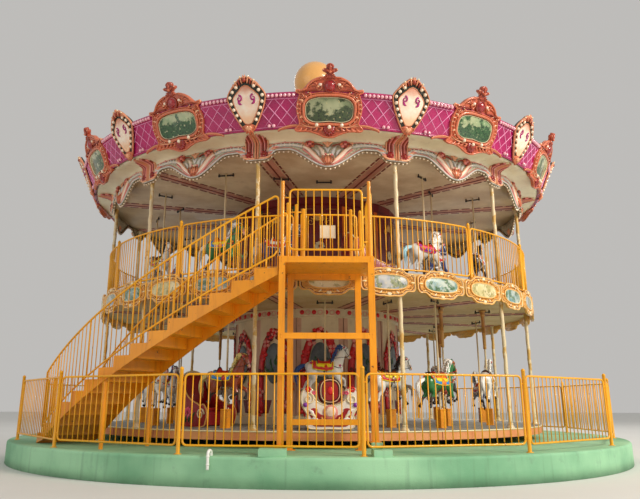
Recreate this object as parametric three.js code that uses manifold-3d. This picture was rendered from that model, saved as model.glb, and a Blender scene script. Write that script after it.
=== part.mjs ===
// A double-deck fairground carousel on a round concrete base, with its fence, stair and landing.
// Millimetres, +Z up. The origin is on the ground, on the axis that the carousel turns about.
// Angles are counted in degrees from the -Y side, where the landing is, towards +X.
import * as THREE from 'three';
import { mergeVertices } from 'three/addons/utils/BufferGeometryUtils.js';
import Module from 'manifold-3d';

const wasm = await Module();
wasm.setup();

// Running gap of touching solids, and the number of bays and facets round the carousel
const FIT = 0.3;
const BAYS = 12;
const BAY = 360 / BAYS;
const FACETS = 36;
const ROUNDS = 48;
const ROTOR_TURN = 1.04;

// Concrete base and the ring that the carousel turns on
const BASE_RADIUS = 6790;
const BASE_TOP = 420;
const BASE_EDGE = 40;
const SLEW_RADIUS = 1500;
const PLATFORM_RADIUS = 5110;
const PLATFORM_BOTTOM = 545;
const PLATFORM_TOP = 690;

// Upper deck with its fascia, and the canopy over it
const DECK_RADIUS = 5160;
const DECK_BOTTOM = 3150;
const DECK_TOP = 3400;
const FASCIA_BOTTOM = 2960;
const FASCIA_TOP = 3460;
const FASCIA_THICK = 45;
const CEILING = 5735;
const LIP_RADIUS = 5110;
const VALANCE_RADIUS = 5065;
const VALANCE_THICK = 30;
const VALANCE_EDGE = 35;
const LOBE_DROP = 370;
const LOBE_REACH = 6;
const BRACKET_DROP = 200;
const BRACKET_REACH = 3;
const CORNICE_BOTTOM = 5930;
const CORNICE_TOP = 6520;
const CORNICE_FOOT_RADIUS = 5483;
const CORNICE_LEAN = 0.45;
const CORNICE_THICK = 50;
const BOARD_RISE = 500;
const BOARD_DROP = 140;
const BOARD_REACH = 6.6;
const SHIELD_RISE = 320;
const SHIELD_DROP = 80;
const SHIELD_REACH = 3.9;
const COVE_THICK = 40;
const CEILING_THICK = 60;
const ROOF_THICK = 80;
const ROOF_TOP = 9080;
const ROOF_CAP_RADIUS = 260;
const ROOF_CAP_HEIGHT = 120;
const BALL_RADIUS = 580;
const BALL_CENTRE = 9700;

// Columns, centre drum and poles
const COLUMN_CIRCLE = 5000;
const COLUMN_RADIUS = 40;
const COLUMN_FOOT_RADIUS = 78;
const COLUMN_FOOT_HEIGHT = 70;
const DRUM_RADIUS = 2000;
const DRUM_BAND = 50;
const DRUM_BAND_HEIGHT = 160;
const DRUM_BAND_SLOPE = 30;
const POLE_RADIUS = 20;
const POLE_GAP = 0.6;
const HORSE_CIRCLE = 4100;
const LOWER_HORSE_HEIGHT = 810;
const UPPER_HORSE_HEIGHT = 680;
const LOWER_HORSE_TURN = 33;
const UPPER_HORSE_TURN = 30.5;
const HORSES_PER_DECK = 4;

// Railings and fence, all curved sheets of bars in a frame
const DECK_RAIL_RADIUS = 5050;
const DECK_RAIL_BOTTOM = 3452;
const DECK_RAIL_TOP = 4445;
const GATE_HALF_ANGLE = 6;
const GATE_GAP = 0.45;
const DECK_RAIL_PANELS = 13;
const DECK_RAIL_SECTIONS = [3, 4, 3, 3];
const FENCE_RADIUS = 6600;
const FENCE_BAYS = 15;
const FENCE_TURN = 4.4;
const FENCE_FIRST_BAY = -3;
const FENCE_SECTIONS = [3, 3, 3, 3, 2];
const FENCE_BOTTOM = 530;
const FENCE_TOP = 1585;
const FENCE_POST_TOP = 1660;
const STAIR_RAIL_BARS = 11;
const FENCE_BARS = 4;
const DECK_RAIL_BARS = 4;
const GATE_BARS = 3;
const RAIL_THICK = 30;
const RAIL_TUBE = 30;
const RAIL_BAR = 18;
const POST_RADIUS = 30;

// Landing, its tower of square tube, and the curved stair
const TUBE = 100;
const TOWER_HALF = 700;
const TOWER_FRONT = -6330;
const TOWER_TOP = 4640;
const TOWER_POST_RADIUS = 28;
const REAR_HALF = 575;
const REAR_LINE = -5350;
const LANDING_TOP = 3380;
const LANDING_THICK = 100;
const LANDING_BACK = -5200;
const MIDDLE_BEAM = 2095;
const LOW_BEAM = 805;
const BEAM_HEIGHT = 90;
const FRONT_RAIL_LENGTH = 1180;
const FRONT_RAIL_TOP = 4510;
const SIDE_RAIL_LENGTH = 840;
const SIDE_RAIL_TOP = 4490;
const LANDING_RAIL_LIFT = 100;
const PROP_RADIUS = 35;
const STAIR_START = -7;
const STAIR_RISERS = 16;
const STAIR_TREAD = 3.28;
const STAIR_INNER = 5330;
const STAIR_OUTER = 6400;
const STAIR_PLATE = 12;
const STAIR_BOARD = 40;
const STEP_GAP = 0.7;
const STAIR_RISER_TURN = 0.12;
const STAIR_DROP = 300;
const HANDRAIL_HEIGHT = 1050;
const LEFT_PAD_TOP = 520;
const RIGHT_PAD_TOP = 600;

// Colours, with roughness and metalness
const YELLOW = { color: 0xf2ac24, roughness: 0.45, metalness: 0.1 };
const ORANGE = { color: 0xf79a1c, roughness: 0.5, metalness: 0.1 };
const CREAM = { color: 0xe8e2c6, roughness: 0.5, metalness: 0.1 };
const MAGENTA = { color: 0xb02368, roughness: 0.4, metalness: 0.0 };
const CONCRETE = { color: 0x9cc3a4, roughness: 0.9, metalness: 0.0 };
const PEACH = { color: 0xe8935a, roughness: 0.5, metalness: 0.1 };
const GOLD = { color: 0xd9862f, roughness: 0.4, metalness: 0.2 };
const RED_PANEL = { color: 0x8a2a24, roughness: 0.5, metalness: 0.0 };
const STEEL = { color: 0x55585c, roughness: 0.6, metalness: 0.5 };
const HORSE_WHITE = { color: 0xe6e6e2, roughness: 0.35, metalness: 0.0 };

const radians = THREE.MathUtils.degToRad;
const carousel = new THREE.Group();
carousel.rotation.z = radians(ROTOR_TURN);
const object = new THREE.Group();
object.add(carousel);

// Solids

function solid(geometry) {
  let bare = geometry.clone();
  bare.deleteAttribute('normal');
  bare.deleteAttribute('uv');
  bare = mergeVertices(bare, 1e-3);
  const triVerts = new Uint32Array(bare.index.array);
  const vertProperties = new Float32Array(bare.attributes.position.array);
  return new wasm.Manifold(new wasm.Mesh({ numProp: 3, vertProperties, triVerts }));
}

function geometryOf(manifold) {
  const { vertProperties, triVerts } = manifold.getMesh();
  const geometry = new THREE.BufferGeometry();
  geometry.setAttribute('position', new THREE.BufferAttribute(vertProperties, 3));
  geometry.setIndex(new THREE.BufferAttribute(triVerts, 1));
  geometry.computeVertexNormals();
  return geometry;
}

function fuse(...geometries) {
  return geometries.map(solid).reduce((whole, piece) => whole.add(piece));
}

function piece(name, shape, look, parent = object) {
  const geometry = shape.isBufferGeometry ? shape : geometryOf(shape);
  const mesh = new THREE.Mesh(geometry, new THREE.MeshStandardMaterial(look));
  mesh.name = name;
  parent.add(mesh);
  return mesh;
}

function spot(radius, angle, z = 0) {
  const turn = radians(angle);
  return new THREE.Vector3(radius * Math.sin(turn), -radius * Math.cos(turn), z);
}

// A turned solid: its profile is a list of [radius, height]
function turned(profile, segments = FACETS) {
  const points = profile.map(([radius, height]) => new THREE.Vector2(radius, height));
  return new THREE.LatheGeometry(points, segments).rotateX(Math.PI / 2);
}

function box(x0, x1, y0, y1, z0, z1) {
  const geometry = new THREE.BoxGeometry(x1 - x0, y1 - y0, z1 - z0);
  return geometry.translate((x0 + x1) / 2, (y0 + y1) / 2, (z0 + z1) / 2);
}

function rod(radius, z0, z1, sides = 8) {
  return turned([[0, z0], [radius, z0], [radius, z1], [0, z1]], sides);
}

// A strip bent round the axis through a list of angles: foot and top give its heights at an angle,
// inner gives its inner face's radius at a height
function band(angles, foot, top, inner, thick) {
  const steps = angles.length - 1;
  const geometry = new THREE.BoxGeometry(steps, 1, thick, steps, 1, 1);
  const place = geometry.attributes.position;
  for (let i = 0; i < place.count; i += 1) {
    const angle = angles[Math.round(place.getX(i) + steps / 2)];
    const z = place.getY(i) > 0 ? top(angle) : foot(angle);
    const point = spot(inner(z) + place.getZ(i) + thick / 2, angle, z);
    place.setXYZ(i, point.x, point.y, point.z);
  }
  return geometry;
}

function strip(from, to, steps, foot, top, inner, thick) {
  const angles = Array.from({ length: steps + 1 }, (_, i) => from + ((to - from) * i) / steps);
  return band(angles, foot, top, inner, thick);
}

// The same between level heights, upright
function arc(from, to, steps, z0, z1, radius, thick) {
  return strip(from, to, steps, () => z0, () => z1, () => radius, thick);
}

// Base, slewing ring, platform, deck and canopy

function concreteBase() {
  return turned([
    [0, 0], [BASE_RADIUS, 0], [BASE_RADIUS, BASE_TOP - BASE_EDGE],
    [BASE_RADIUS - BASE_EDGE, BASE_TOP], [0, BASE_TOP],
  ], ROUNDS);
}

function rightPad() {
  const low = box(640, 900, -6690, -6460, BASE_TOP + FIT, LEFT_PAD_TOP - 10);
  const high = box(640, 790, -6470, -6270, BASE_TOP + FIT, RIGHT_PAD_TOP);
  return fuse(low, high);
}

function horseSpots(turn) {
  const step = 360 / HORSES_PER_DECK;
  return Array.from({ length: HORSES_PER_DECK }, (_, i) => turn + i * step);
}

function drill(manifold, radius, circle, angles, z0, z1) {
  return angles.reduce((rest, angle) => {
    const centre = spot(circle, angle);
    const hole = rod(radius, z0, z1).rotateZ(radians(angle));
    return rest.subtract(solid(hole.translate(centre.x, centre.y, 0)));
  }, manifold);
}

const columnAngles = Array.from({ length: BAYS }, (_, i) => (i + 0.5) * BAY);

function lowerPlatform() {
  const disc = solid(turned([
    [0, PLATFORM_BOTTOM], [PLATFORM_RADIUS, PLATFORM_BOTTOM],
    [PLATFORM_RADIUS, PLATFORM_TOP], [0, PLATFORM_TOP],
  ], ROUNDS));
  const hole = POLE_RADIUS + POLE_GAP;
  return drill(disc, hole, HORSE_CIRCLE, horseSpots(LOWER_HORSE_TURN), 0, DECK_TOP);
}

function upperDeck() {
  const rim = DECK_RADIUS - FASCIA_THICK - FIT;
  const disc = solid(turned([[0, DECK_BOTTOM], [rim, DECK_BOTTOM], [rim, DECK_TOP], [0, DECK_TOP]], ROUNDS));
  const forColumns = drill(disc, COLUMN_RADIUS + FIT + 0.1, COLUMN_CIRCLE, columnAngles, 0, CEILING);
  const hole = POLE_RADIUS + POLE_GAP;
  const lower = drill(forColumns, hole, HORSE_CIRCLE, horseSpots(LOWER_HORSE_TURN), 0, CEILING);
  return drill(lower, hole, HORSE_CIRCLE, horseSpots(UPPER_HORSE_TURN), 0, CEILING);
}

function deckFascia(quarter) {
  const from = quarter * 90;
  const inner = DECK_RADIUS - FASCIA_THICK;
  return solid(arc(from, from + 89.99, ROUNDS / 4, FASCIA_BOTTOM, FASCIA_TOP, inner, FASCIA_THICK));
}

function corniceRadius(z) {
  return CORNICE_FOOT_RADIUS + (z - CORNICE_BOTTOM) * CORNICE_LEAN;
}

function canopyCeiling() {
  const back = corniceRadius(CORNICE_BOTTOM) - FIT;
  const cove = [];
  for (let i = 0; i <= 3; i += 1) {
    const turn = (i / 3) * (Math.PI / 2);
    const radius = LIP_RADIUS + (back - LIP_RADIUS) * (1 - Math.cos(turn));
    cove.push([radius, CEILING + (CORNICE_BOTTOM - CEILING) * Math.sin(turn)]);
  }
  const disc = solid(turned([
    [0, CEILING], ...cove, [back, CORNICE_BOTTOM + COVE_THICK], [LIP_RADIUS, CEILING + CEILING_THICK],
    [0, CEILING + CEILING_THICK],
  ]));
  const hole = POLE_RADIUS + POLE_GAP;
  return drill(disc, hole, HORSE_CIRCLE, horseSpots(UPPER_HORSE_TURN), 0, CORNICE_TOP);
}

// A shell on the cove's rim that rises to the cap under the ball
function canopyRoof() {
  const foot = CORNICE_BOTTOM + COVE_THICK + FIT;
  const back = (z) => corniceRadius(z) - FIT;
  const eave = CORNICE_TOP - 60;
  const cap = ROOF_TOP - ROOF_CAP_HEIGHT;
  return turned([
    [back(foot) - ROOF_THICK, foot], [back(foot), foot], [back(eave), eave],
    [ROOF_CAP_RADIUS, cap], [ROOF_CAP_RADIUS, ROOF_TOP], [0, ROOF_TOP],
    [0, cap - ROOF_THICK], [ROOF_CAP_RADIUS, cap - ROOF_THICK],
    [back(eave) - ROOF_THICK, eave - ROOF_THICK / 2], [back(foot) - ROOF_THICK, foot],
  ]);
}

function roofBall() {
  const profile = [[0, ROOF_TOP + FIT], [200, ROOF_TOP + FIT]];
  for (let i = 1; i <= 7; i += 1) {
    const turn = radians(-70 + i * 20);
    profile.push([BALL_RADIUS * Math.cos(turn), BALL_CENTRE + BALL_RADIUS * Math.sin(turn)]);
  }
  profile.push([0, BALL_CENTRE + BALL_RADIUS]);
  return turned(profile, 16);
}

function drum(z0, z1) {
  const rim = DRUM_RADIUS + DRUM_BAND;
  const neck = DRUM_BAND_HEIGHT + DRUM_BAND_SLOPE;
  return turned([
    [0, z0 + FIT], [rim, z0 + FIT], [rim, z0 + DRUM_BAND_HEIGHT], [DRUM_RADIUS, z0 + neck],
    [DRUM_RADIUS, z1 - neck], [rim, z1 - DRUM_BAND_HEIGHT], [rim, z1 - FIT], [0, z1 - FIT],
  ], 24);
}

// Cornice: a leaning band with the outlines of the mid-bay boards and of the shields over the columns

function bulge(offset, reach) {
  return Math.max(0, 1 - (offset / reach) ** 2);
}

function corniceTop(angle) {
  const fromBoard = Math.abs(angle - Math.round(angle / BAY) * BAY);
  const fromShield = BAY / 2 - fromBoard;
  const board = BOARD_RISE * bulge(fromBoard, BOARD_REACH);
  return CORNICE_TOP + board + SHIELD_RISE * bulge(fromShield, SHIELD_REACH);
}

function corniceFoot(angle) {
  const fromBoard = Math.abs(angle - Math.round(angle / BAY) * BAY);
  const fromShield = BAY / 2 - fromBoard;
  const board = BOARD_DROP * bulge(fromBoard, BOARD_REACH);
  return CORNICE_BOTTOM - board - SHIELD_DROP * bulge(fromShield, SHIELD_REACH);
}

function corniceSection(first, bays) {
  const from = first * BAY;
  const to = from + bays * BAY - 0.01;
  return solid(strip(from, to, bays * 12, corniceFoot, corniceTop, corniceRadius, CORNICE_THICK));
}

// Valance: arches between the column brackets and the lobes at mid-bay
function valanceFoot(angle) {
  const fromLobe = Math.abs(angle - Math.round(angle / BAY) * BAY);
  const fromColumn = BAY / 2 - fromLobe;
  const lobe = fromLobe < LOBE_REACH ? LOBE_DROP * Math.cos(((fromLobe / LOBE_REACH) * Math.PI) / 2) : 0;
  const bracket = fromColumn < BRACKET_REACH ? BRACKET_DROP : 0;
  return CEILING - VALANCE_EDGE - lobe - bracket;
}

// A run of bays: the valance and the columns under it, joined by their capitals
function arcade(first, bays) {
  const from = first * BAY;
  const to = from + bays * BAY - 0.01;
  const head = CEILING - FIT;
  const shapes = [strip(from, to, bays * 8, valanceFoot, () => head, () => VALANCE_RADIUS, VALANCE_THICK)];
  for (let i = 0; i < bays; i += 1) {
    const angle = (first + i + 0.5) * BAY;
    const place = spot(COLUMN_CIRCLE, angle);
    const foot = PLATFORM_TOP + FIT;
    const shaft = turned([
      [0, foot], [COLUMN_FOOT_RADIUS, foot], [COLUMN_RADIUS, foot + COLUMN_FOOT_HEIGHT],
      [COLUMN_RADIUS, head], [0, head],
    ], 8);
    shapes.push(shaft.rotateZ(radians(angle)).translate(place.x, place.y, 0));
    const back = COLUMN_CIRCLE - 60;
    shapes.push(arc(angle - 0.8, angle + 0.8, 1, head - 160, head, back, VALANCE_RADIUS + 10 - back));
  }
  return fuse(...shapes);
}

// Railings

// A flat frame of upright bars along X, its inner face on the X axis line and its length centred there
function flatFrame(length, bottom, top, bars) {
  const half = length / 2;
  const back = 0;
  const front = -RAIL_THICK;
  const parts = [
    box(-half, half, front, back, bottom, bottom + RAIL_TUBE),
    box(-half, half, front, back, top - RAIL_TUBE, top),
    box(-half, -half + RAIL_TUBE, front, back, bottom + 5, top - 5),
    box(half - RAIL_TUBE, half, front, back, bottom + 5, top - 5),
  ];
  const pitch = (length - RAIL_TUBE) / (bars + 1);
  for (let i = 1; i <= bars; i += 1) {
    const x = -half + RAIL_TUBE / 2 + i * pitch;
    parts.push(box(x - RAIL_BAR / 2, x + RAIL_BAR / 2, front + 6, back - 6, bottom + 10, top - 10));
  }
  return fuse(...parts);
}

// A frame of upright bars bent round the axis between two angles; rise lifts it along the stair
function bentFrame(radius, from, to, bottom, top, bars, steps, rise = () => 0) {
  const tube = (RAIL_TUBE / radius) * (180 / Math.PI);
  const bar = (RAIL_BAR / radius) * (180 / Math.PI);
  const foot = (angle) => bottom + rise(angle);
  const head = (angle) => top + rise(angle);
  const over = (height, lift) => (angle) => height(angle) + lift;
  const face = () => radius;
  const parts = [
    strip(from, to, steps, foot, over(foot, RAIL_TUBE), face, RAIL_THICK),
    strip(from, to, steps, over(head, -RAIL_TUBE), head, face, RAIL_THICK),
    strip(from, from + tube, 1, over(foot, 5), over(head, -5), face, RAIL_THICK),
    strip(to - tube, to, 1, over(foot, 5), over(head, -5), face, RAIL_THICK),
  ];
  const pitch = (to - from - tube) / (bars + 1);
  for (let i = 1; i <= bars; i += 1) {
    const left = from + tube / 2 + i * pitch - bar / 2;
    parts.push(strip(
      left, left + bar, 1, over(foot, 10), over(head, -10), () => radius + 6, RAIL_THICK - 12,
    ));
  }
  return fuse(...parts);
}

function post(radius, angle, foot, top) {
  const place = spot(radius, angle);
  return solid(rod(POST_RADIUS, foot, top).translate(place.x, place.y, 0));
}

// Fence: flat frames between round posts, with one bay left open at the foot of the stair
function fenceBay(middle) {
  const half = FENCE_RADIUS * Math.sin(radians(180 / FENCE_BAYS));
  const depth = FENCE_RADIUS * Math.cos(radians(180 / FENCE_BAYS)) - RAIL_THICK / 2;
  const frame = flatFrame(2 * (half - 2 * POST_RADIUS), FENCE_BOTTOM, FENCE_TOP, FENCE_BARS);
  const stubs = [FENCE_BOTTOM + 120, FENCE_TOP - 150].flatMap((z) => [-1, 1].map((side) => {
    const near = side * (half - POST_RADIUS - 40);
    const far = side * (half - POST_RADIUS / 2);
    return solid(box(Math.min(near, far), Math.max(near, far), -23, -7, z, z + 20));
  }));
  const whole = stubs.reduce((rest, stub) => rest.add(stub), frame);
  return whole.translate([0, -depth, 0]).rotate([0, 0, middle]);
}

function fenceSections() {
  const pitch = 360 / FENCE_BAYS;
  let bay = FENCE_FIRST_BAY;
  FENCE_SECTIONS.forEach((bays, section) => {
    const last = section === FENCE_SECTIONS.length - 1;
    const angleOf = (i) => FENCE_TURN + (bay + i) * pitch;
    let shape = post(FENCE_RADIUS, angleOf(0), BASE_TOP + FIT, FENCE_POST_TOP);
    for (let i = 0; i < bays; i += 1) {
      shape = shape.add(fenceBay(angleOf(i + 0.5)));
      if (i > 0) shape = shape.add(post(FENCE_RADIUS, angleOf(i), BASE_TOP + FIT, FENCE_POST_TOP));
    }
    const end = angleOf(bays);
    shape = last
      ? shape.add(post(FENCE_RADIUS, end, BASE_TOP + FIT, FENCE_POST_TOP))
      : clearOfPost(shape, FENCE_RADIUS, end);
    piece(`fence_section_${section + 1}`, shape, YELLOW);
    bay += bays;
  });
}

// Where two sections meet, the second one carries the post
function clearOfPost(shape, radius, angle) {
  const place = spot(radius, angle);
  const cut = rod(POST_RADIUS + FIT, 0, CEILING).translate(place.x, place.y, 0);
  return shape.subtract(solid(cut));
}

function deckRailSections() {
  const first = GATE_HALF_ANGLE + 0.6;
  const pitch = (360 - 2 * first) / DECK_RAIL_PANELS;
  const centre = DECK_RAIL_RADIUS + RAIL_THICK / 2;
  const tip = DECK_RAIL_TOP + 60;
  const reach = ((POST_RADIUS - 10) / centre) * (180 / Math.PI);
  let panel = 0;
  DECK_RAIL_SECTIONS.forEach((panels, section) => {
    const angleOf = (i) => first + (panel + i) * pitch;
    let shape = post(centre, angleOf(0), DECK_TOP + FIT, tip);
    for (let i = 0; i < panels; i += 1) {
      shape = shape.add(bentFrame(
        DECK_RAIL_RADIUS, angleOf(i) + reach, angleOf(i + 1) - reach,
        DECK_RAIL_BOTTOM, DECK_RAIL_TOP, DECK_RAIL_BARS, 5,
      ));
      if (i > 0) shape = shape.add(post(centre, angleOf(i), DECK_TOP + FIT, tip));
    }
    const end = angleOf(panels);
    shape = section === DECK_RAIL_SECTIONS.length - 1
      ? shape.add(post(centre, end, DECK_TOP + FIT, tip)).add(solid(gateLug()))
      : clearOfPost(shape, centre, end);
    piece(`deck_rail_section_${section + 1}`, shape, YELLOW, carousel);
    panel += panels;
  });
}

// Deck gate: one leaf between the rail's end posts, on a lug at its left post

const gateAxis = spot(DECK_RAIL_RADIUS + RAIL_THICK / 2, -GATE_HALF_ANGLE + GATE_GAP);

function gateLug() {
  return arc(
    -GATE_HALF_ANGLE - 0.6, -GATE_HALF_ANGLE + 0.75, 1,
    DECK_RAIL_BOTTOM - 30, DECK_RAIL_BOTTOM - FIT, DECK_RAIL_RADIUS, RAIL_THICK,
  );
}

function deckGate() {
  const from = -GATE_HALF_ANGLE + GATE_GAP;
  const leaf = bentFrame(DECK_RAIL_RADIUS, from, GATE_HALF_ANGLE, DECK_RAIL_BOTTOM, DECK_RAIL_TOP, GATE_BARS, 3);
  const stile = rod(RAIL_THICK / 2, DECK_RAIL_BOTTOM, DECK_RAIL_TOP).translate(gateAxis.x, gateAxis.y, 0);
  return leaf.add(solid(stile));
}

// Stair, landing and tower

const riser = (LANDING_TOP - BASE_TOP) / STAIR_RISERS;
const slope = riser / STAIR_TREAD;
const nosing = (angle) => LANDING_TOP + (angle - STAIR_START) * slope;

// A slender outline of [angle, height] corners, as deep as thick, bent round the axis
function bentSheet(outline, inner, thick) {
  const shape = new THREE.Shape(outline.map(([a, z]) => new THREE.Vector2(a, z)));
  const sheet = new THREE.ExtrudeGeometry(shape, { depth: thick, bevelEnabled: false });
  const place = sheet.attributes.position;
  for (let i = 0; i < place.count; i += 1) {
    const point = spot(inner + place.getZ(i), place.getX(i), place.getY(i));
    place.setXYZ(i, point.x, point.y, point.z);
  }
  return sheet;
}

// Boards and risers as one folded sheet between two curved plates. The plates' upper edges follow
// the steps and their lower edges are smooth.
function stair() {
  const count = STAIR_RISERS - 1;
  const end = STAIR_START - count * STAIR_TREAD;
  const upper = [[end, BASE_TOP + FIT]];
  const under = [[end + STAIR_RISER_TURN, BASE_TOP + FIT]];
  for (let i = count; i >= 1; i -= 1) {
    const low = STAIR_START - i * STAIR_TREAD;
    const z = LANDING_TOP - riser * i;
    upper.push([low, z], [low + STAIR_TREAD, z]);
    under.push([low + STAIR_RISER_TURN, z - STAIR_BOARD]);
    if (i > 1) under.push([low + STAIR_TREAD + STAIR_RISER_TURN, z - STAIR_BOARD]);
  }
  const top = LANDING_TOP - FIT;
  upper.push([STAIR_START, top], [STAIR_START + STAIR_RISER_TURN, top]);
  under.push([STAIR_START + STAIR_RISER_TURN, LANDING_TOP - riser - STAIR_BOARD]);
  const inside = STAIR_INNER + STAIR_PLATE + STEP_GAP;
  const outside = STAIR_OUTER - STAIR_PLATE;
  piece('stair_steps', bentSheet([...upper, ...under.reverse()], inside, outside - STEP_GAP - inside), ORANGE);

  // Two angles a hair apart at each riser, the plate's upper edge dropping between them
  const hair = 0.01;
  const angles = [end];
  for (let i = count - 1; i >= 0; i -= 1) {
    const low = STAIR_START - i * STAIR_TREAD;
    angles.push(low - hair, low);
  }
  angles.push(STAIR_START + STAIR_RISER_TURN);
  const stepTop = (angle) => {
    const above = Math.ceil((STAIR_START - angle - hair / 2) / STAIR_TREAD);
    return Math.min(LANDING_TOP - riser * above, top);
  };
  const foot = (angle) => Math.max(nosing(angle) - STAIR_DROP, BASE_TOP + FIT);
  piece('stair_inner_plate', band(angles, foot, stepTop, () => STAIR_INNER, STAIR_PLATE), ORANGE);
  piece('stair_outer_plate', band(angles, foot, stepTop, () => outside, STAIR_PLATE), ORANGE);
}

function stairRail(radius) {
  const from = STAIR_START - (STAIR_RISERS - 1.3) * STAIR_TREAD;
  const to = STAIR_START - 0.4;
  const rise = (angle) => nosing(angle) - LANDING_TOP;
  const bottom = LANDING_TOP + 40;
  const top = LANDING_TOP + HANDRAIL_HEIGHT;
  const frame = bentFrame(radius, from, to, bottom, top, STAIR_RAIL_BARS, 10, rise);
  const feet = [];
  for (let i = 0; i < STAIR_RISERS - 1; i += 3) {
    const angle = STAIR_START - (i + 0.5) * STAIR_TREAD;
    const low = LANDING_TOP - riser * (i + 1) + FIT;
    const place = spot(radius + RAIL_THICK / 2, angle);
    const high = bottom + rise(angle) + RAIL_TUBE / 2;
    feet.push(solid(rod(14, low, high).translate(place.x, place.y, 0)));
  }
  return feet.reduce((whole, foot) => whole.add(foot), frame);
}

function stairProps() {
  const angle = STAIR_START - 8.5 * STAIR_TREAD;
  const z = nosing(angle) - STAIR_DROP - 25;
  const shapes = [STAIR_INNER + PROP_RADIUS, STAIR_OUTER - PROP_RADIUS].map((radius) => {
    const place = spot(radius, angle);
    return rod(PROP_RADIUS, BASE_TOP + FIT, z).translate(place.x, place.y, 0);
  });
  return shapes;
}

function towerFront() {
  const y0 = TOWER_FRONT - TUBE / 2;
  const y1 = TOWER_FRONT + TUBE / 2;
  const half = TUBE / 2;
  const left = box(-TOWER_HALF - half, -TOWER_HALF + half, y0, y1, LEFT_PAD_TOP + FIT, LANDING_TOP);
  const right = box(TOWER_HALF - half, TOWER_HALF + half, y0, y1, RIGHT_PAD_TOP + FIT, LANDING_TOP);
  const slim = [-TOWER_HALF, TOWER_HALF].map((x) => (
    rod(TOWER_POST_RADIUS, LANDING_TOP - half, TOWER_TOP).translate(x, TOWER_FRONT, 0)
  ));
  const deckBeam = box(-TOWER_HALF, TOWER_HALF, y0, y1, LANDING_TOP - LANDING_THICK, LANDING_TOP);
  const midBeam = box(-TOWER_HALF, TOWER_HALF, y0, y1, MIDDLE_BEAM, MIDDLE_BEAM + BEAM_HEIGHT);
  return fuse(left, right, deckBeam, midBeam, ...slim);
}

function towerRear() {
  const y0 = REAR_LINE - TUBE / 2;
  const y1 = REAR_LINE + TUBE / 2;
  const half = TUBE / 2;
  const top = LANDING_TOP - LANDING_THICK - FIT;
  const left = box(-REAR_HALF - half, -REAR_HALF + half, y0, y1, BASE_TOP + FIT, top);
  const right = box(REAR_HALF - half, REAR_HALF + half, y0, y1, BASE_TOP + FIT, top);
  const lowBeam = box(-REAR_HALF, REAR_HALF, y0, y1, LOW_BEAM, LOW_BEAM + BEAM_HEIGHT);
  const topBeam = box(-REAR_HALF, REAR_HALF, y0, y1, top - TUBE, top);
  return fuse(left, right, lowBeam, topBeam);
}

// The landing's left edge follows the stair's top riser, its other edges are square
function landingFloor() {
  const front = TOWER_FRONT + TUBE / 2 + FIT;
  const turn = Math.tan(radians(STAIR_START + STAIR_RISER_TURN + 0.01));
  const shape = new THREE.Shape([
    new THREE.Vector2(-front * turn, front),
    new THREE.Vector2(TOWER_HALF + TUBE / 2, front),
    new THREE.Vector2(TOWER_HALF + TUBE / 2, LANDING_BACK),
    new THREE.Vector2(-LANDING_BACK * turn, LANDING_BACK),
  ]);
  const slab = new THREE.ExtrudeGeometry(shape, { depth: LANDING_THICK, bevelEnabled: false });
  return slab.translate(0, 0, LANDING_TOP - LANDING_THICK);
}

// A flat frame on two feet that stand on the landing
function landingRail(length, top, bars) {
  const bottom = LANDING_TOP + LANDING_RAIL_LIFT;
  const half = length / 2;
  const feet = [-half, half - RAIL_TUBE].map((x) => solid(box(
    x, x + RAIL_TUBE, -RAIL_THICK, 0, LANDING_TOP + FIT, bottom + 10,
  )));
  return feet.reduce((whole, foot) => whole.add(foot), flatFrame(length, bottom, top, bars));
}

function landingFrontRail() {
  return landingRail(FRONT_RAIL_LENGTH, FRONT_RAIL_TOP, 8).translate([0, TOWER_FRONT + RAIL_THICK / 2, 0]);
}

function landingSideRail() {
  const middle = (TOWER_FRONT + REAR_LINE) / 2;
  const side = TOWER_HALF + TUBE / 2 - RAIL_THICK;
  return landingRail(SIDE_RAIL_LENGTH, SIDE_RAIL_TOP, 5).rotate([0, 0, 90]).translate([side, middle, 0]);
}

// Horses: a carved figure on its pole, drawn from the side with the pole at the origin and the head at +X

function horseShape() {
  const body = new THREE.Shape();
  body.moveTo(-430, 60);
  body.bezierCurveTo(-420, 190, -250, 190, -120, 150);
  body.quadraticCurveTo(20, 110, 150, 180);
  body.lineTo(290, 420);
  body.lineTo(330, 490);
  body.lineTo(360, 430);
  body.lineTo(500, 330);
  body.lineTo(490, 250);
  body.lineTo(360, 290);
  body.quadraticCurveTo(400, 120, 350, -40);
  body.bezierCurveTo(200, -190, -150, -180, -300, -120);
  body.quadraticCurveTo(-400, -60, -430, 60);
  const trunk = new THREE.ExtrudeGeometry(body, { depth: 250, bevelEnabled: false, curveSegments: 3 });
  trunk.translate(0, 0, -125);
  const tail = new THREE.ExtrudeGeometry(new THREE.Shape([
    [-400, 110], [-380, 30], [-520, -260], [-600, -180], [-520, 60],
  ].map(([x, z]) => new THREE.Vector2(x, z))), { depth: 80, bevelEnabled: false }).translate(0, 0, -40);
  const legs = [];
  for (const side of [-1, 1]) {
    const fore = new THREE.Shape([
      [180, -80], [310, -60], [400, -210], [330, -400], [270, -380], [310, -230],
    ].map(([x, z]) => new THREE.Vector2(x, z)));
    const hind = new THREE.Shape([
      [-330, 0], [-200, -110], [-280, -260], [-400, -420], [-460, -380], [-380, -240],
    ].map(([x, z]) => new THREE.Vector2(x, z)));
    for (const leg of [fore, hind]) {
      const shape = new THREE.ExtrudeGeometry(leg, { depth: 75, bevelEnabled: false });
      legs.push(shape.translate(0, 0, side * 80 - 37.5));
    }
  }
  return [trunk, tail, ...legs].map((shape) => shape.rotateX(Math.PI / 2));
}

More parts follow.
